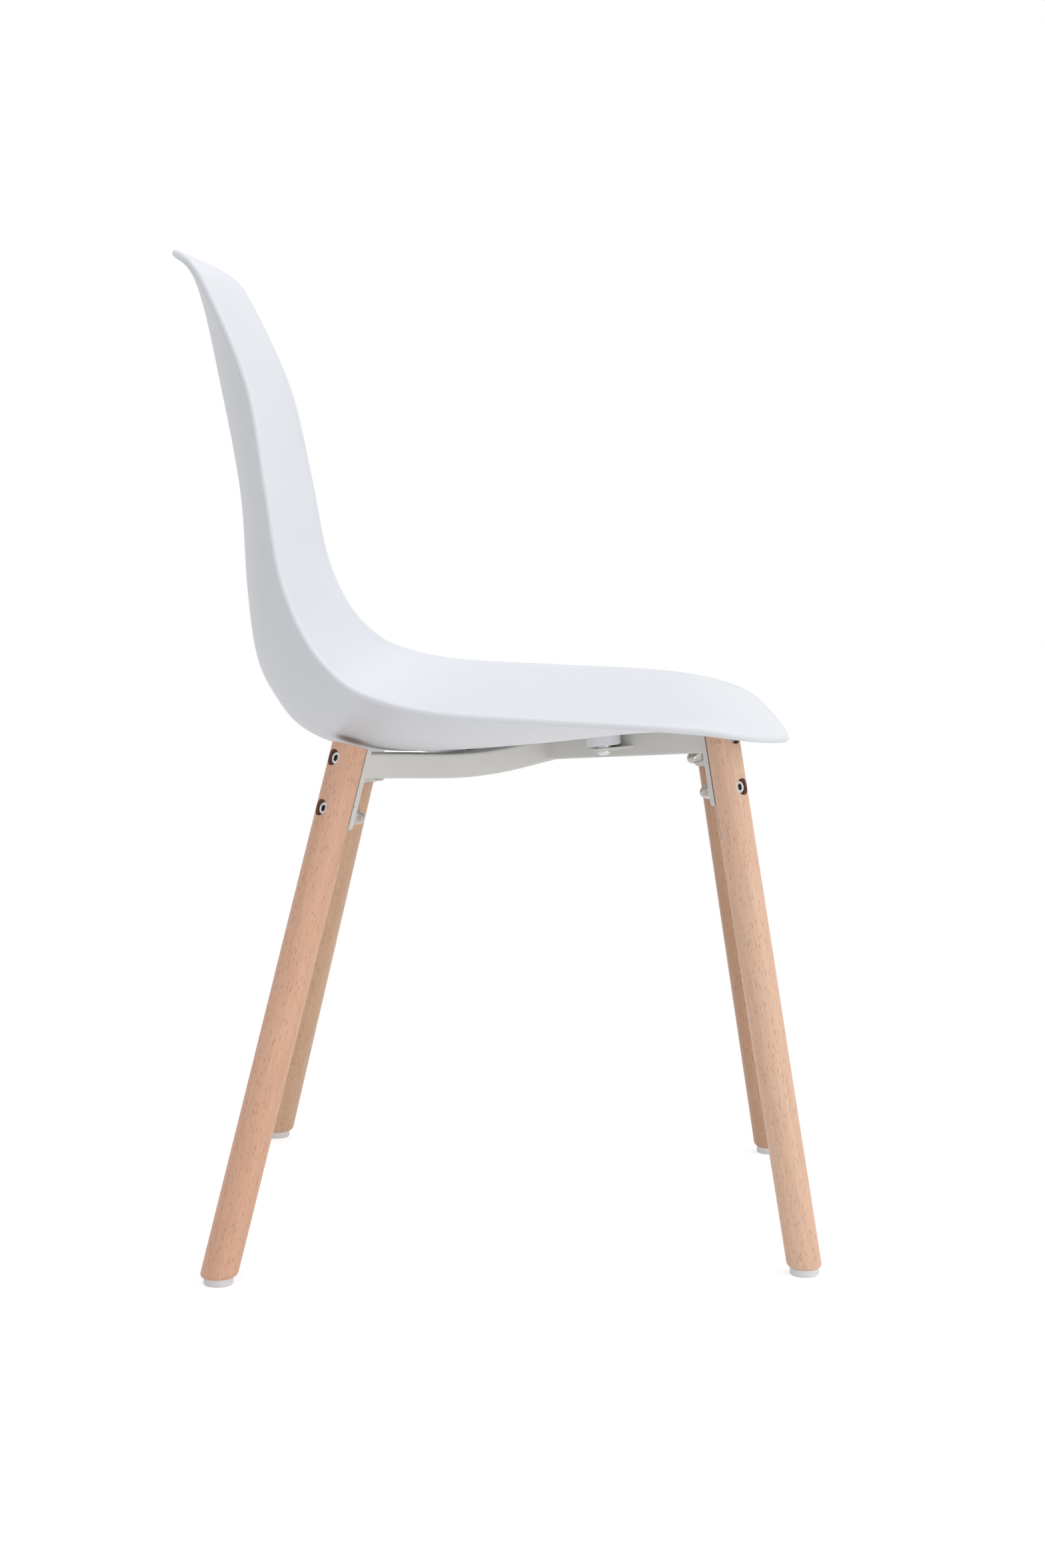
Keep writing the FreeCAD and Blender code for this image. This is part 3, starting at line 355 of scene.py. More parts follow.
def shell_plastic():
    s = Shader("shell_plastic")
    wide = s.noise(s.place(), 7.0, 3.0, 0.5)
    fine = s.noise(s.place(), 2600.0, 2.0, 0.6)
    cloudy = s.noise(s.place(), 60.0, 3.0, 0.6)
    tone = s.ramp(wide, [(0.3, (0.790, 0.806, 0.842)), (0.7, (0.812, 0.826, 0.858))])
    s.colour(s.mix(s.span(cloudy, 0.4, 0.62, 0.0, 0.25), tone, (0.77, 0.785, 0.82)))
    s.rough(s.span(fine, 0.3, 0.7, 0.36, 0.47))
    s.bump(fine, 0.10, 0.0004)
    s.set(IOR=1.49)
    return s.material


def frame_paint():
    s = Shader("frame_paint")
    wide = s.noise(s.place(), 12.0, 3.0, 0.55)
    peel = s.noise(s.place(), 420.0, 2.0, 0.5)
    specks = s.node("TexVoronoi", Scale=115.0, Randomness=1.0)
    s.link(s.place(), specks.inputs["Vector"])
    sparse = s.span(s.node_colour(specks), 0.80, 0.82, 0.0, 1.0)
    small = s.span(specks.outputs["Distance"], 0.040, 0.075, 1.0, 0.0)
    tone = s.ramp(wide, [(0.3, (0.735, 0.722, 0.685)), (0.7, (0.775, 0.762, 0.725))])
    s.colour(s.mix(s.maths("MULTIPLY", sparse, small), tone, (0.17, 0.15, 0.13)))
    s.rough(s.span(peel, 0.3, 0.7, 0.33, 0.46))
    s.bump(peel, 0.16, 0.0006)
    s.set(IOR=1.5)
    return s.material


def beech(name, matrix, tone_and_light, shift):
    """Clear-coated beech: soft growth bands, and short dark ray flecks along the grain."""
    s = Shader(name)
    origin = matrix.translation
    turn = matrix.to_euler()

    def along(across, lengthwise, offset=0.0):
        vector = s.place((across, across, lengthwise), origin, turn)
        moved = s.node("VectorMath", operation="ADD")
        moved.inputs[1].default_value = (shift + offset, shift * 0.37 + offset, shift * 1.9)
        s.link(vector, moved.inputs[0])
        return moved.outputs["Vector"]

    broad = s.noise(along(30.0, 3.0), 1.0, 3.0, 0.5, 0.3)
    fibre = s.noise(along(900.0, 28.0), 1.0, 3.0, 0.65)
    bands = s.node("TexWave", wave_type="BANDS", bands_direction="DIAGONAL", wave_profile="SIN",
                   Scale=1.0, Distortion=7.0, Detail=2.0)
    bands.inputs["Detail Scale"].default_value = 1.4
    s.link(along(34.0, 3.2), bands.inputs["Vector"])
    flecks = s.node("TexVoronoi", Scale=1.0, Randomness=1.0)
    s.link(along(950.0, 130.0, 3.0), flecks.inputs["Vector"])
    dash = s.span(flecks.outputs["Distance"], 0.16, 0.36, 1.0, 0.0)
    chosen = s.span(s.node_colour(flecks), 0.30, 0.55, 0.0, 1.0)
    patchy = s.span(s.noise(along(90.0, 22.0, 7.0), 1.0, 2.0), 0.35, 0.65, 0.60, 1.0)
    fleck = s.maths("MULTIPLY", s.maths("MULTIPLY", dash, chosen), patchy)

    light, middle, dark = tone_and_light
    tone = s.ramp(broad, [(0.30, middle), (0.72, light)])
    tone = s.mix(s.span(bands.outputs["Fac"], 0.55, 1.0, 0.0, 0.22), tone, dark)
    tone = s.mix(s.span(fibre, 0.38, 0.70, 0.0, 0.42), tone, tuple(0.78 * c for c in middle))
    s.colour(s.mix(s.maths("MULTIPLY", fleck, 0.80), tone, tuple(0.50 * c for c in dark)))
    s.rough(s.span(fibre, 0.3, 0.8, 0.40, 0.54))
    s.bump(s.maths("SUBTRACT", fibre, fleck), 0.10, 0.0003)
    s.set(IOR=1.48)
    return s.material


def painted_shade_wood():
    """Raw cut wood on the flat under the plate and on the bore walls, darker and redder than the turned
    face: painted shade in the plate joint and the bores.
    """
    s = Shader("beech_cut_painted_shade")
    pores = s.noise(s.place(), 900.0, 3.0, 0.6)
    s.colour(s.ramp(pores, [(0.3, (0.19, 0.085, 0.055)), (0.7, (0.30, 0.145, 0.095))]))
    s.rough(s.span(pores, 0.3, 0.7, 0.6, 0.8))
    s.bump(pores, 0.25, 0.0004)
    return s.material


def steel(name, tone, rough, brushed=(700.0, 700.0, 90.0)):
    s = Shader(name)
    grain = s.noise(s.place(brushed), 1.0, 3.0, 0.6)
    wide = s.noise(s.place(), 220.0, 3.0, 0.5)
    s.colour(s.ramp(wide, [(0.3, tuple(0.86 * c for c in tone)), (0.7, tone)]))
    s.rough(s.span(grain, 0.3, 0.7, rough - 0.06, rough + 0.08))
    s.bump(grain, 0.08, 0.0002)
    s.set(Metallic=1.0)
    return s.material


def pad_plastic():
    s = Shader("pad_plastic")
    fine = s.noise(s.place(), 1500.0, 2.0, 0.6)
    wear = s.noise(s.place(), 120.0, 3.0, 0.6)
    s.colour(s.ramp(wear, [(0.35, (0.82, 0.81, 0.82)), (0.65, (0.86, 0.85, 0.86))]))
    s.rough(s.span(fine, 0.3, 0.7, 0.42, 0.56))
    s.bump(fine, 0.12, 0.0003)
    return s.material


def weld_paint():
    s = Shader("weld_paint")
    ripple = s.noise(s.place(), 260.0, 3.0, 0.6, 0.4)
    s.colour(s.ramp(ripple, [(0.3, (0.710, 0.697, 0.660)), (0.7, (0.760, 0.747, 0.710))]))
    s.rough(s.span(ripple, 0.3, 0.7, 0.34, 0.5))
    s.bump(ripple, 0.35, 0.0010)
    return s.material


# Mesh helpers, in millimetres

def leg_matrix(corner):
    """Leg's own axes: z up its axis, x outward, the origin where the upper bolt crosses."""
    turn, end = CORNERS[corner]
    out, up = ENDS[end]["bolt"]
    return (Matrix.Translation((0, HUB_OFFSET, 0)) @ Matrix.Rotation(math.radians(turn), 4, "Z")
            @ Matrix.Translation((out, 0, up)) @ Matrix.Rotation(-math.radians(ENDS[end]["lean"]), 4, "Y"))


def to_metres(matrix):
    scaled = matrix.copy()
    scaled.translation = scaled.translation * MM
    return scaled


def lathe(profile, segments, matrix=None):
    """Closed solid turned about z from (radius, z) points; a point at radius 0 ends it."""
    mesh = bmesh.new()
    rings = []
    for radius, z in profile:
        if radius == 0:
            rings.append([mesh.verts.new((0, 0, z))])
            continue
        ring = []
        for step in range(segments):
            angle = 2 * math.pi * step / segments
            ring.append(mesh.verts.new((radius * math.cos(angle), radius * math.sin(angle), z)))
        rings.append(ring)
    for lower, upper in zip(rings, rings[1:]):
        for step in range(segments):
            following = (step + 1) % segments
            if len(lower) == 1 and len(upper) == 1:
                continue
            if len(lower) == 1:
                mesh.faces.new((lower[0], upper[following], upper[step]))
            elif len(upper) == 1:
                mesh.faces.new((lower[step], lower[following], upper[0]))
            else:
                mesh.faces.new((lower[step], lower[following], upper[following], upper[step]))
    bmesh.ops.recalc_face_normals(mesh, faces=mesh.faces)
    if matrix is not None:
        mesh.transform(matrix)
    return mesh


def rounded_top(radius, z, roundness, steps):
    """Quarter-circle points that end a turned side with a soft upper edge."""
    points = []
    for step in range(steps + 1):
        angle = math.pi / 2 * step / steps
        points.append((radius - roundness * (1 - math.cos(angle)),
                       z - roundness * (1 - math.sin(angle))))
    return points


def prism(circumradius, sides, low, high):
    mesh = bmesh.new()
    rings = []
    for z in (low, high):
        rings.append([mesh.verts.new((circumradius * math.cos(2 * math.pi * k / sides),
                                      circumradius * math.sin(2 * math.pi * k / sides), z))
                      for k in range(sides)])
    mesh.faces.new(reversed(rings[0]))
    mesh.faces.new(rings[1])
    for k in range(sides):
        following = (k + 1) % sides
        mesh.faces.new((rings[0][k], rings[0][following], rings[1][following], rings[1][k]))
    return mesh


def block(low, high):
    mesh = bmesh.new()
    bmesh.ops.create_cube(mesh, size=1)
    low = Vector(low)
    high = Vector(high)
    for vert in mesh.verts:
        vert.co = Vector([low[i] + (vert.co[i] + 0.5) * (high[i] - low[i]) for i in range(3)])
    return mesh


def joined(meshes):
    whole = bmesh.new()
    for part in meshes:
        data = bpy.data.meshes.new("part")
        part.to_mesh(data)
        whole.from_mesh(data)
        bpy.data.meshes.remove(data)
        part.free()
    return whole


def add_object(name, mesh):
    data = bpy.data.meshes.new(name)
    mesh.to_mesh(data)
    mesh.free()
    made = bpy.data.objects.new(name, data)
    bpy.context.scene.collection.objects.link(made)
    return made


def cut(base, *cutters):
    """Subtract each closed mesh from the base and return the result as a new mesh."""
    body = add_object("cut_base", base)
    tools = []
    for cutter in cutters:
        tool = add_object("cutter", cutter)
        tools.append(tool)
        modifier = body.modifiers.new("cut", "BOOLEAN")
        modifier.operation = "DIFFERENCE"
        modifier.solver = "EXACT"
        modifier.object = tool
    return applied(body, tools)


def applied(body, spare=()):
    """Mesh of an object with its modifiers applied; the object and its helpers are deleted."""
    bpy.context.view_layer.update()
    evaluated = body.evaluated_get(bpy.context.evaluated_depsgraph_get())
    data = bpy.data.meshes.new_from_object(evaluated)
    result = bmesh.new()
    result.from_mesh(data)
    bpy.data.meshes.remove(data)
    for old in (body, *spare):
        data = old.data
        bpy.data.objects.remove(old)
        bpy.data.meshes.remove(data)
    return result


def soften(mesh, width, angle, segments=2):
    """Bevel every edge sharper than the angle."""
    body = add_object("soften", mesh)
    bevel = body.modifiers.new("bevel", "BEVEL")
    bevel.width = width
    bevel.segments = segments
    bevel.limit_method = "ANGLE"
    bevel.angle_limit = math.radians(angle)
    return applied(body)


def finish_piece(name, mesh, materials, nodes, smooth_under):
    """Turn a mesh in millimetres into a shown piece that stands for CAD nodes."""
    mesh.transform(Matrix.Scale(MM, 4))
    # The solids' box is the limit of every piece
    for vert in mesh.verts:
        vert.co = [min(max(vert.co[i], cad_box[0][i]), cad_box[1][i]) for i in range(3)]
    piece = add_object(name, mesh)
    for material in materials:
        piece.data.materials.append(material)
    piece.data.polygons.foreach_set("use_smooth", [True] * len(piece.data.polygons))
    piece.data.set_sharp_from_angle(angle=math.radians(smooth_under))
    piece.data.update()
    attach(piece, "root")
    if nodes:
        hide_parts(*nodes)
    return piece


# The seat

def spline(samples, at):
    """Smooth curve through evenly numbered samples."""
    samples = np.asarray(samples, float)
    last = len(samples) - 1
    index = np.clip(np.floor(at).astype(int), 0, last - 1)
    part = at - index
    extended = np.concatenate([[2 * samples[0] - samples[1]], samples, [2 * samples[-1] - samples[-2]]])
    before, mine, following, after = (extended[index + k] for k in range(4))
    cubic = 3 * (mine - following) + after - before
    square = 2 * before - 5 * mine + 4 * following - after
    return mine + 0.5 * part * (following - before + part * (square + part * cubic))


class Seat:
    """The seat's middle surface by length along its centre line and place across."""

    def __init__(self):
        def reach(share):
            return share * (LIP_REACH if share > 0 else BACK_REACH)

        self.centre_fore = [reach(c[0]) for c, _, _ in STATIONS]
        self.centre_up = [PAN_HEIGHT + BACK_RISE * c[1] for c, _, _ in STATIONS]
        self.rim_fore = [reach(r[1]) for _, r, _ in STATIONS]
        self.rim_up = [PAN_HEIGHT + BACK_RISE * r[2] - RIM_BEAD / 2 for _, r, _ in STATIONS]
        self.half = [r[0] * SEAT_HALF_WIDTH - RIM_BEAD / 2 for _, r, _ in STATIONS]
        self.fullness = [f for _, _, f in STATIONS]
        self.last = len(STATIONS) - 1
        self.numbers = np.linspace(0, self.last, STATION_SAMPLES * self.last + 1)
        points = np.stack(self.centre(self.numbers), -1)
        steps = np.linalg.norm(np.diff(points, axis=0), axis=1)
        self.lengths = np.concatenate([[0.0], np.cumsum(steps)])
        self.total = self.lengths[-1]

    def centre(self, at):
        run = spline(self.centre_fore, at + SLOPE_STEP) - spline(self.centre_fore, at - SLOPE_STEP)
        climb = spline(self.centre_up, at + SLOPE_STEP) - spline(self.centre_up, at - SLOPE_STEP)
        slope = np.hypot(run, climb)
        return (spline(self.centre_fore, at) + WALL / 2 * climb / slope,
                spline(self.centre_up, at) - WALL / 2 * run / slope)

    def station(self, length):
        return np.interp(length, self.lengths, self.numbers)

    def half_width(self, length):
        return spline(self.half, self.station(np.asarray(length, float)))

    def middle(self, length, across):
        at = self.station(length)
        fore, up = self.centre(at)
        share = np.abs(across) / spline(self.half, at)
        lift = share ** spline(self.fullness, at)
        fore = fore + lift * (spline(self.rim_fore, at) - fore)
        up = up + lift * (spline(self.rim_up, at) - up)
        return np.stack([across, HUB_OFFSET - fore, up], -1)

    def normal(self, length, across):
        """Direction from the underside to the sitter."""
        along = (self.middle(np.minimum(length + NORMAL_STEP, self.total), across)
                 - self.middle(np.maximum(length - NORMAL_STEP, 0.0), across))
        sideways = self.middle(length, across + NORMAL_STEP) - self.middle(length, across - NORMAL_STEP)
        direction = -np.cross(along, sideways)
        return direction / np.linalg.norm(direction, axis=-1, keepdims=True)


def seat_outline(seat):
    """Quarter outlines of the flattened seat: front edge, side and top edge, as (length, across)."""
    power = 2 / CORNER_POWER

    def corner(turns, deep):
        return deep * (1 - np.cos(turns) ** power), np.sin(turns) ** power

    # The turns stop just short of a right angle, so that no cosine comes out below zero
    eighth = np.linspace(0, math.pi / 4, CORNER_SAMPLES)
    late = np.clip(np.linspace(math.pi / 4, math.pi / 2, CORNER_SAMPLES), 0, math.pi / 2 - 1e-9)
    along, share = corner(eighth, FRONT_CORNER)
    front = np.stack([along, share * seat.half_width(along)], -1)
    along, share = corner(eighth, TOP_CORNER)
    top = np.stack([seat.total - along, share * seat.half_width(seat.total - along)], -1)
    low_along, low_share = corner(late, FRONT_CORNER)
    high_along, high_share = corner(late[::-1], TOP_CORNER)
    straight = np.linspace(FRONT_CORNER, seat.total - TOP_CORNER, SIDE_SAMPLES)[1:-1]
    side = np.concatenate([
        np.stack([low_along, low_share * seat.half_width(low_along)], -1),
        np.stack([straight, seat.half_width(straight)], -1),
        np.stack([seat.total - high_along, high_share * seat.half_width(seat.total - high_along)], -1)])
    return front, side, top


def spread(line, shares):
    lengths = np.concatenate([[0.0], np.cumsum(np.linalg.norm(np.diff(line, axis=0), axis=1))])
    want = shares * lengths[-1]
    return np.stack([np.interp(want, lengths, line[:, k]) for k in range(2)], -1)


def crowded(count):
    """Shares from 0 to 1 that crowd towards both ends."""
    even = np.linspace(0, 1, count)
    return even - SKIN_CROWDING * np.sin(2 * math.pi * even) / (2 * math.pi)


def seat_grid(seat):
    front, side, top = seat_outline(seat)
    both = crowded(SKIN_COLUMNS)
    over = (both[SKIN_COLUMNS // 2:] - 0.5) * 2
    down = crowded(SKIN_ROWS)[:, None]
    front = spread(front, over)
    top = spread(top, over)
    side = spread(side, down[:, 0])
    half = []
    for k in range(2):
        axis = front[0, k] + down * (top[0, k] - front[0, k])
        half.append((1 - down) * front[None, :, k] + down * top[None, :, k]
                    + (1 - over) * axis + over * side[:, None, k]
                    - (1 - down) * ((1 - over) * front[0, k] + over * front[-1, k])
                    - down * ((1 - over) * top[0, k] + over * top[-1, k]))
    along = np.concatenate([half[0][:, :0:-1], half[0]], 1)
    across = np.concatenate([-half[1][:, :0:-1], half[1]], 1)
    return along, across


def rim_loop(rows, columns):
    loop = [(0, c) for c in range(columns)]
    loop += [(r, columns - 1) for r in range(1, rows)]
    loop += [(rows - 1, c) for c in range(columns - 2, -1, -1)]
    loop += [(r, 0) for r in range(rows - 2, 0, -1)]
    return np.array(loop)


def seat_mesh(seat):
    """Two skins that thicken towards a round rim."""
    along, across = seat_grid(seat)
    rows, columns = along.shape
    loop = rim_loop(rows, columns)
    middle = seat.middle(along, across)
    normal = seat.normal(along, across)
    rim = middle[loop[:, 0], loop[:, 1]]
    flat = middle.reshape(-1, 3)
    nearest = np.full(len(flat), np.inf)
    for start in range(0, len(rim), RIM_BATCH):
        gap = np.linalg.norm(flat[:, None] - rim[None, start:start + RIM_BATCH], axis=-1).min(1)
        nearest = np.minimum(nearest, gap)
    nearest = nearest.reshape(rows, columns)
    near = np.clip(1 - nearest / BEAD_WIDTH, 0, 1)
    thick = WALL + (RIM_BEAD - WALL) * near * near * (3 - 2 * near)
    inner = middle + normal * thick[..., None] / 2
    outer = middle - normal * thick[..., None] / 2

    mesh = bmesh.new()
    skins = []
    for skin in (inner, outer):
        skins.append([[mesh.verts.new(skin[r, c]) for c in range(columns)] for r in range(rows)])
    for r in range(rows - 1):
        for c in range(columns - 1):
            mesh.faces.new([skins[0][r][c], skins[0][r][c + 1], skins[0][r + 1][c + 1], skins[0][r + 1][c]])
            mesh.faces.new([skins[1][r][c], skins[1][r + 1][c], skins[1][r + 1][c + 1], skins[1][r][c + 1]])
    tangent = np.roll(rim, -1, 0) - np.roll(rim, 1, 0)
    rim_normal = normal[loop[:, 0], loop[:, 1]]
    out = np.cross(tangent, rim_normal)
    out /= np.linalg.norm(out, axis=1, keepdims=True)
    inside = middle[np.clip(loop[:, 0], INSIDE_ROWS, rows - 1 - INSIDE_ROWS),
                    np.clip(loop[:, 1], INSIDE_ROWS, columns - 1 - INSIDE_ROWS)]
    if np.einsum("ij,ij->i", out, rim - inside).sum() < 0:
        out = -out
    previous = [skins[0][r][c] for r, c in loop]
    for step in range(1, RIM_STEPS + 1):
        if step == RIM_STEPS:
            ring = [skins[1][r][c] for r, c in loop]
        else:
            turn = math.pi * step / RIM_STEPS
            places = rim + RIM_BEAD / 2 * (rim_normal * math.cos(turn) + out * math.sin(turn))
            ring = [mesh.verts.new(p) for p in places]
        count = len(ring)
        for k in range(count):
            following = (k + 1) % count
            mesh.faces.new([previous[k], ring[k], ring[following], previous[following]])
        previous = ring
    bmesh.ops.recalc_face_normals(mesh, faces=mesh.faces)
    return mesh


def boss_mesh(corner):
    """A drafted boss with a soft lower edge that runs up into the seat's wall."""
    place, axis = SCREWS[corner]
    radius = BOSS_DIAMETER / 2
    foot = radius - BOSS_DRAFT / 2
    tall = BOSS_TALL[CORNERS[corner][1]]
    profile = [(0, SPACER_THICK + BOSS_HOLE_DEEP), (BOSS_HOLE[0], SPACER_THICK + BOSS_HOLE_DEEP),
               (BOSS_HOLE[1], SPACER_THICK)]
    for step in range(BOSS_ROUND_STEPS + 1):
        angle = math.pi / 2 * step / BOSS_ROUND_STEPS
        profile.append((foot - BOSS_ROUND * (1 - math.sin(angle)),
                        SPACER_THICK + BOSS_ROUND * (1 - math.cos(angle))))
    profile += [(radius, tall), (0, tall)]
    turn = Vector((0, 0, 1)).rotation_difference(Vector(axis)).to_matrix().to_4x4()
    return lathe(profile, SIDES["boss"], Matrix.Translation(place) @ turn)


def hub_weld_mesh():
    """Rippled seams up the four inner corners where the half tubes meet the long one."""
    seams = []
    for x, y in HUB_CORNERS:
        profile = [(0, HUB_WELD_LOW)]
        for step in range(HUB_WELD_STEPS + 1):
            share = step / HUB_WELD_STEPS
            ripple = HUB_WELD_RIPPLE_TALL * math.sin(HUB_WELD_RIPPLES * 2 * math.pi * share)
            swell = min(1.0, HUB_WELD_SWELL * min(share, 1 - share) + HUB_WELD_END)
            height = HUB_WELD_LOW + share * (HUB_WELD_HIGH - HUB_WELD_LOW)
            profile.append((HUB_WELD_RADIUS * swell + ripple, height))
        profile.append((0, HUB_WELD_HIGH))
        seams.append(lathe(profile, SIDES["weld"], Matrix.Translation((x, HUB_OFFSET + y, 0))))
    return joined(seams)


# Legs and fixings

ALONG_X = Matrix.Rotation(math.pi / 2, 4, "Y")


def leg_mesh(corner):
    """A turned leg: level softened foot, flat for the plate, and two stepped bolt holes."""
    _, end = CORNERS[corner]
    data = ENDS[end]
    radius = data["diameter"] / 2
    lean = math.radians(data["lean"])
    below = (data["bolt"][1] - FOOT_HEIGHT) / math.cos(lean)
    spare = 2 * radius * math.tan(lean)
    profile = [(0, -below - spare), (radius, -below - spare), (radius, -BOLT_SPACING - LEG_RING_BELOW),
               (radius, -BOLT_SPACING / 2)]
    profile += rounded_top(radius, data["above"], LEG_TOP_ROUND, LEG_TOP_STEPS) + [(0, data["above"])]
    mesh = lathe(profile, SIDES["leg"])
    floor = Matrix.Rotation(lean, 3, "Y") @ Vector((0, 0, 1))
    found = bmesh.ops.bisect_plane(mesh, geom=mesh.verts[:] + mesh.edges[:] + mesh.faces[:],
                                   plane_co=(0, 0, -below), plane_no=-floor, clear_outer=True)
    edges = [e for e in found["geom_cut"] if isinstance(e, bmesh.types.BMEdge)]
    bmesh.ops.contextual_create(mesh, geom=edges)
    bmesh.ops.bevel(mesh, geom=edges, offset=LEG_FOOT_ROUND, segments=LEG_FOOT_STEPS, profile=0.5,
                    affect="EDGES", clamp_overlap=True)
    bmesh.ops.recalc_face_normals(mesh, faces=mesh.faces)
    flat_low = BOLT_SPACING + PLATE_END + FLAT_OVERRUN
    flat_at = FLAT_GAP[end] - data["flat"]
    flat = block((-2 * radius, -2 * radius, -flat_low), (flat_at, 2 * radius, 4 * radius))
    seat_at = radius - BORE_DEEP
    bores = []
    for drop in (0.0, BOLT_SPACING):
        bores.append(lathe(
            [(0, -2 * radius), (HOLE_DIAMETER / 2, -2 * radius), (HOLE_DIAMETER / 2, seat_at),
             (BORE_DIAMETER / 2, seat_at), (BORE_DIAMETER / 2, 2 * radius), (0, 2 * radius)],
            SIDES["bore"], Matrix.Translation((0, 0, -drop)) @ ALONG_X))
    mesh = cut(mesh, flat, joined(bores))
    mesh = soften(mesh, LEG_EDGE_ROUND, SHARP_LEG)
    # Faces on the flat under the plate and in the bolt bores take the dark wood, painted shade in the joint
    # and the recesses
    for face in mesh.faces:
        centre = face.calc_center_median()
        in_bore = centre.x > 0 and math.hypot(centre.x, centre.y) < radius - BORE_SHADE_MARGIN and (
            abs(centre.z) < BORE_DIAMETER or abs(centre.z + BOLT_SPACING) < BORE_DIAMETER)
        on_flat = centre.z > -flat_low and centre.x < flat_at + FLAT_SHADE_REACH
        face.material_index = 1 if in_bore or on_flat else 0
    mesh.transform(leg_matrix(corner))
    return mesh


def bolt_mesh(end):
    """Socket-head bolt along x, with a softened head and a hexagonal socket."""
    data = ENDS[end]
    seat_at = data["diameter"] / 2 - BORE_DEEP
    tip = -data["flat"] - PLATE_THICK - NUT_TALL - THREAD_GAP
    head = HEAD_DIAMETER / 2
    top = seat_at + HEAD_TALL
    shank = BOLT_DIAMETER / 2
    inset, rise = HEAD_FOOT_CHAMFER
    outer, inner = (HEX_KEY * share for share in HEAD_DISH_SHARES)
    profile = [(0, tip), (shank - BOLT_TIP_CHAMFER, tip), (shank, tip + BOLT_TIP_CHAMFER),
               (shank, seat_at), (head - inset, seat_at), (head, seat_at + rise)]
    profile += rounded_top(head, top, HEAD_ROUND, HEAD_ROUND_STEPS)
    profile += [(outer, top), (inner, top - HEAD_DISH), (0, top - HEAD_DISH)]
    body = lathe(profile, SIDES["bolt"])
    socket = prism(HEX_KEY / 2 / math.cos(math.pi / 6), 6, top - HEX_DEEP, top + HEX_DEEP)
    mesh = soften(cut(body, socket), SOCKET_ROUND, SHARP_FIXING)
    # Faces inside the hex socket take the dark steel, painted shade in the recess
    for face in mesh.faces:
        centre = face.calc_center_median()
        near_axis = math.hypot(centre.x, centre.y) < HEX_KEY * SOCKET_SHARE
        face.material_index = 1 if near_axis and seat_at < centre.z < top - SOCKET_TOP_MARGIN else 0
    mesh.transform(ALONG_X)
    return mesh


def cap_mesh():
    """Domed nut: a chamfered hexagon with a ball end. z runs away from the plate."""
    corner = NUT_ACROSS / 2 / math.cos(math.pi / 6)
    hexagon = soften(prism(corner, 6, 0, CAP_TALL - CAP_HEX_SHORT), CAP_HEX_ROUND, SHARP_FIXING,
                     CAP_HEX_STEPS)
    dome = DOME_DIAMETER / 2
    neck = [(dome - inset, CAP_TALL - depth) for inset, depth in DOME_NECK]
    ball = [(dome * math.cos(a), CAP_TALL + dome * math.sin(a))
            for a in np.linspace(0, math.pi / 2, DOME_STEPS)[:-1]]
    profile = [(0, neck[0][1])] + neck + ball + [(0, CAP_TALL + dome)]
    return joined([hexagon, lathe(profile, SIDES["dome"])])


def copies(make, places):
    meshes = []
    for place in places:
        mesh = make()
        mesh.transform(place)
        meshes.append(mesh)
    return joined(meshes)


# Build the pieces

paint = frame_paint()
bolt_steel = steel("bolt_steel", (0.66, 0.66, 0.67), 0.30)
# Dark steel, painted shade inside the hex sockets
socket_shade_steel = steel("socket_shade_steel", (0.20, 0.19, 0.19), 0.50)
nut_steel = steel("nut_steel", (0.50, 0.47, 0.43), 0.24)
spacer_steel = steel("spacer_steel", (0.60, 0.60, 0.60), 0.32)
brass = steel("insert_brass", (0.60, 0.42, 0.16), 0.35)
pad = pad_plastic()
# Dark wood, painted shade in the plate joint and the bolt bores
bore_and_joint_shade = painted_shade_wood()
plastic = shell_plastic()

seat = Seat()
seat_parts = [seat_mesh(seat)] + [boss_mesh(corner) for corner in CORNERS]
finish_piece("seat", joined(seat_parts), [plastic], ["seat_shell"], SMOOTH_UNDER["seat"])

for number, (corner, (_, end)) in enumerate(CORNERS.items()):
    matrix = leg_matrix(corner)
    wood = beech("beech_" + corner, to_metres(matrix), LEG_TONES_LIT_AND_SHADED[corner], GRAIN_SHIFT * (number + 1))
    finish_piece("turned_leg_" + corner, leg_mesh(corner), [wood, bore_and_joint_shade], ["leg_" + corner],
                 SMOOTH_UNDER["leg"])

for end in ("front", "rear"):
    places = [leg_matrix(corner) @ Matrix.Translation((0, 0, -drop))
              for corner, (_, its_end) in CORNERS.items() if its_end == end
              for drop in (0.0, BOLT_SPACING)]
    finish_piece("socket_bolts_" + end, copies(lambda: bolt_mesh(end), places), [bolt_steel, socket_shade_steel],
                 ["leg_bolts_" + end], SMOOTH_UNDER["fixing"])

places = []
for corner, (_, end) in CORNERS.items():
    at = -ENDS[end]["flat"] - PLATE_THICK
    places.append(leg_matrix(corner) @ Matrix.Translation((at, 0, -BOLT_SPACING))
                  @ Matrix.Rotation(-math.pi / 2, 4, "Y"))
finish_piece("domed_nuts", copies(cap_mesh, places), [nut_steel], ["cap_nuts"],
             SMOOTH_UNDER["fixing"])

finish_piece("hub_welds", hub_weld_mesh(), [weld_paint()], [], SMOOTH_UNDER["weld"])

# The solids that stay as they are take these materials, by how their names start
KEPT_SOLIDS = {
    "frame_": paint, "leg_plate": paint, "seat_tab": paint, "foot_pad": pad, "weld_nuts": nut_steel,
    "pad_nails": nut_steel, "seat_spacers": spacer_steel, "shell_inserts": brass, "seat_screws": bolt_steel,
}
for name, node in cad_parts.items():
    for start, material in KEPT_SOLIDS.items():
        if name.startswith(start):
            node.data.materials.clear()
            node.data.materials.append(material)

# Stage

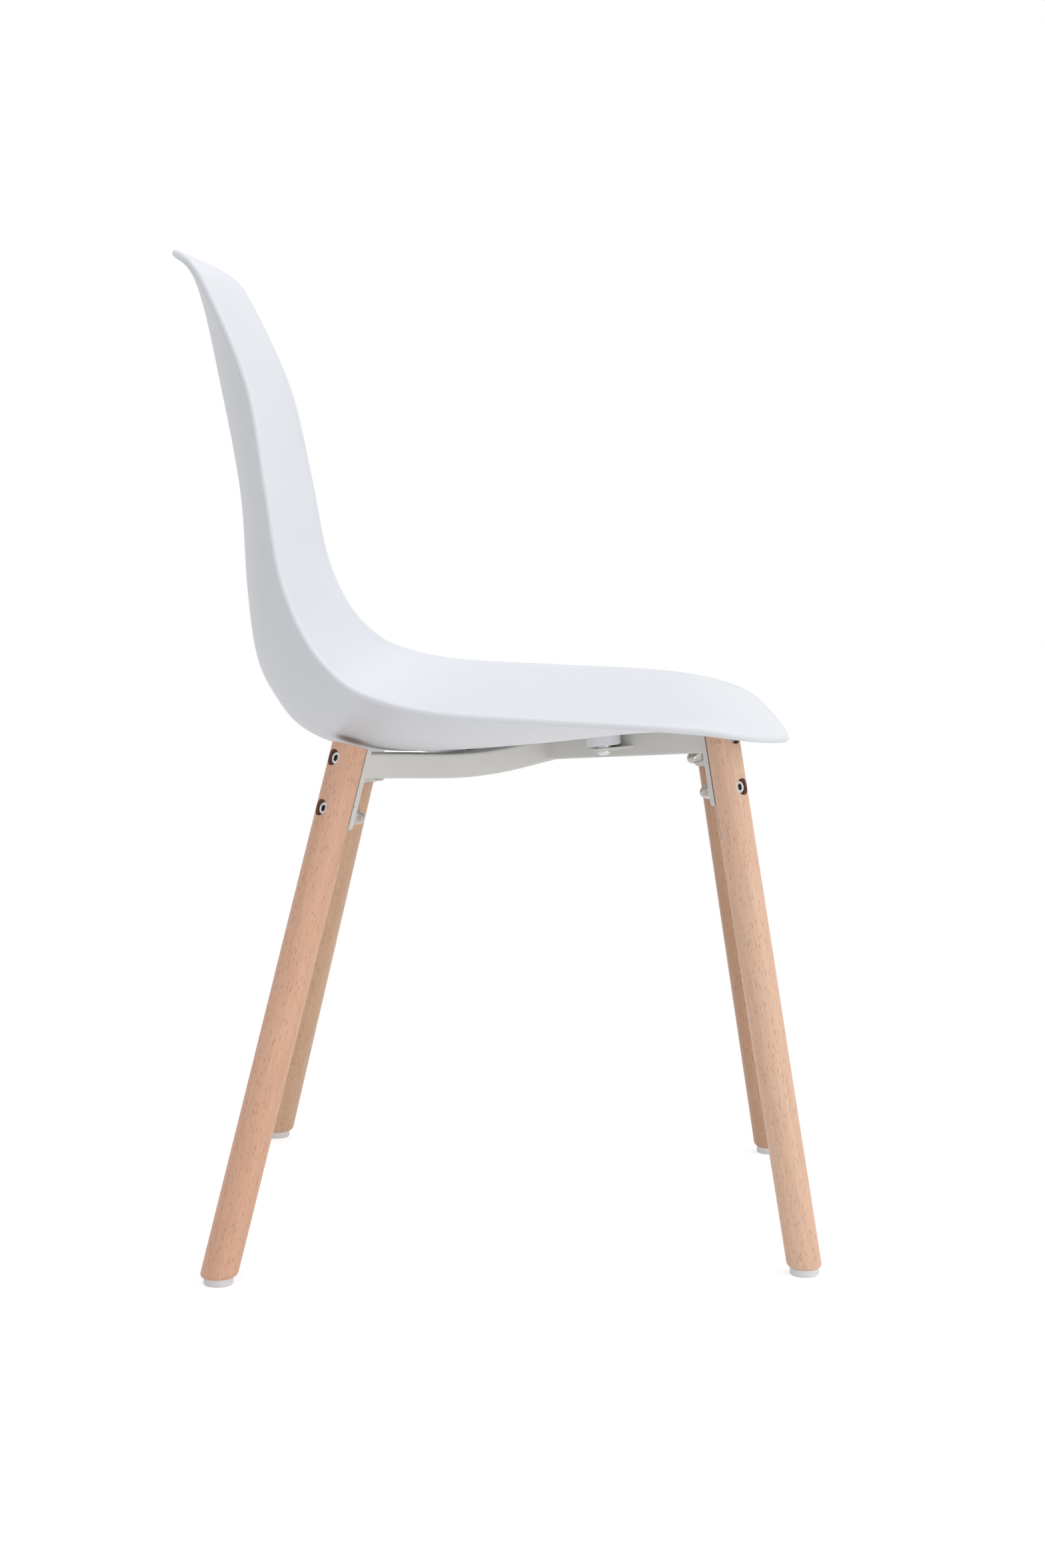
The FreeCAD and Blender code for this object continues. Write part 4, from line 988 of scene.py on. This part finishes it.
def stage_material():
    """Pale floor that keeps the chair's shadow and turns to plain white further out."""
    s = Shader("stage_floor")
    soft = s.noise(s.place(), 1.5, 2.0)
    s.colour(s.ramp(soft, [(0.3, (0.80, 0.80, 0.80)), (0.7, (0.82, 0.82, 0.82))]))
    s.set(Roughness=0.9, Emission_Color=WHITE)
    seen = s.seen_ray()
    length = s.node("VectorMath", operation="LENGTH")
    s.link(s.place(), length.inputs[0])
    far = s.span(length.outputs["Value"], WHITE_FROM, WHITE_BEYOND, 0.0, 1.0)
    s.link(s.maths("MULTIPLY", seen, FLOOR_GLOW), s.surface.inputs["Emission Strength"])
    white = s.node("Emission", Strength=1.0, Color=WHITE)
    both = s.blend(s.maths("MULTIPLY", seen, far), s.surface.outputs[0], white.outputs[0])
    s.link(both, s.nodes["Material Output"].inputs["Surface"])
    return s.material


def studio_world():
    """Even light from all round, and plain white where the world is seen or mirrored."""
    world = bpy.data.worlds.new("studio")
    world.use_nodes = True
    world.node_tree.nodes.clear()
    tree = Tree(world.node_tree)
    ambient = tree.node("Background", Strength=AMBIENT_STRENGTH, Color=(*AMBIENT_COLOUR, 1))
    white = tree.node("Background", Strength=1.0, Color=WHITE)
    both = tree.blend(tree.seen_ray(), ambient.outputs[0], white.outputs[0])
    tree.link(both, tree.node("OutputWorld").inputs["Surface"])
    return world


def softbox(name, place, target, size, power, colour):
    data = bpy.data.lights.new(name, "AREA")
    data.shape = "RECTANGLE"
    data.size, data.size_y = size
    data.energy = power
    data.color = colour
    lamp = bpy.data.objects.new(name, data)
    lamp.location = place
    lamp.rotation_euler = (Vector(target) - Vector(place)).to_track_quat("-Z", "Y").to_euler()
    bpy.context.scene.collection.objects.link(lamp)


bpy.ops.mesh.primitive_circle_add(vertices=FLOOR_SIDES, radius=FLOOR_RADIUS, fill_type="NGON")
floor = bpy.context.object
floor.name = "floor"
floor.data.materials.append(stage_material())
bpy.context.scene.world = studio_world()
for name, settings in SOFTBOXES.items():
    softbox(name, *settings)

# The camera stands at the photograph's place and angle

camera = bpy.data.objects.new("camera", bpy.data.cameras.new("camera"))
camera.data.sensor_width = SENSOR_WIDTH
camera.data.sensor_fit = "AUTO"
camera.data.lens = SENSOR_WIDTH * FOCAL_SHARE
level = Vector((math.cos(CAMERA_YAW), math.sin(CAMERA_YAW), 0))
forward = level * math.cos(CAMERA_PITCH) - Vector((0, 0, math.sin(CAMERA_PITCH)))
right = forward.cross(Vector((0, 0, 1))).normalized()
up = right.cross(forward)
turned = Matrix((right, up, -forward)).transposed() @ Matrix.Rotation(-CAMERA_ROLL, 3, "Z")
camera.matrix_world = Matrix.Translation(CAMERA_PLACE) @ turned.to_4x4()
bpy.context.scene.collection.objects.link(camera)
bpy.context.scene.camera = camera
bpy.context.scene.view_settings.view_transform = "Standard"
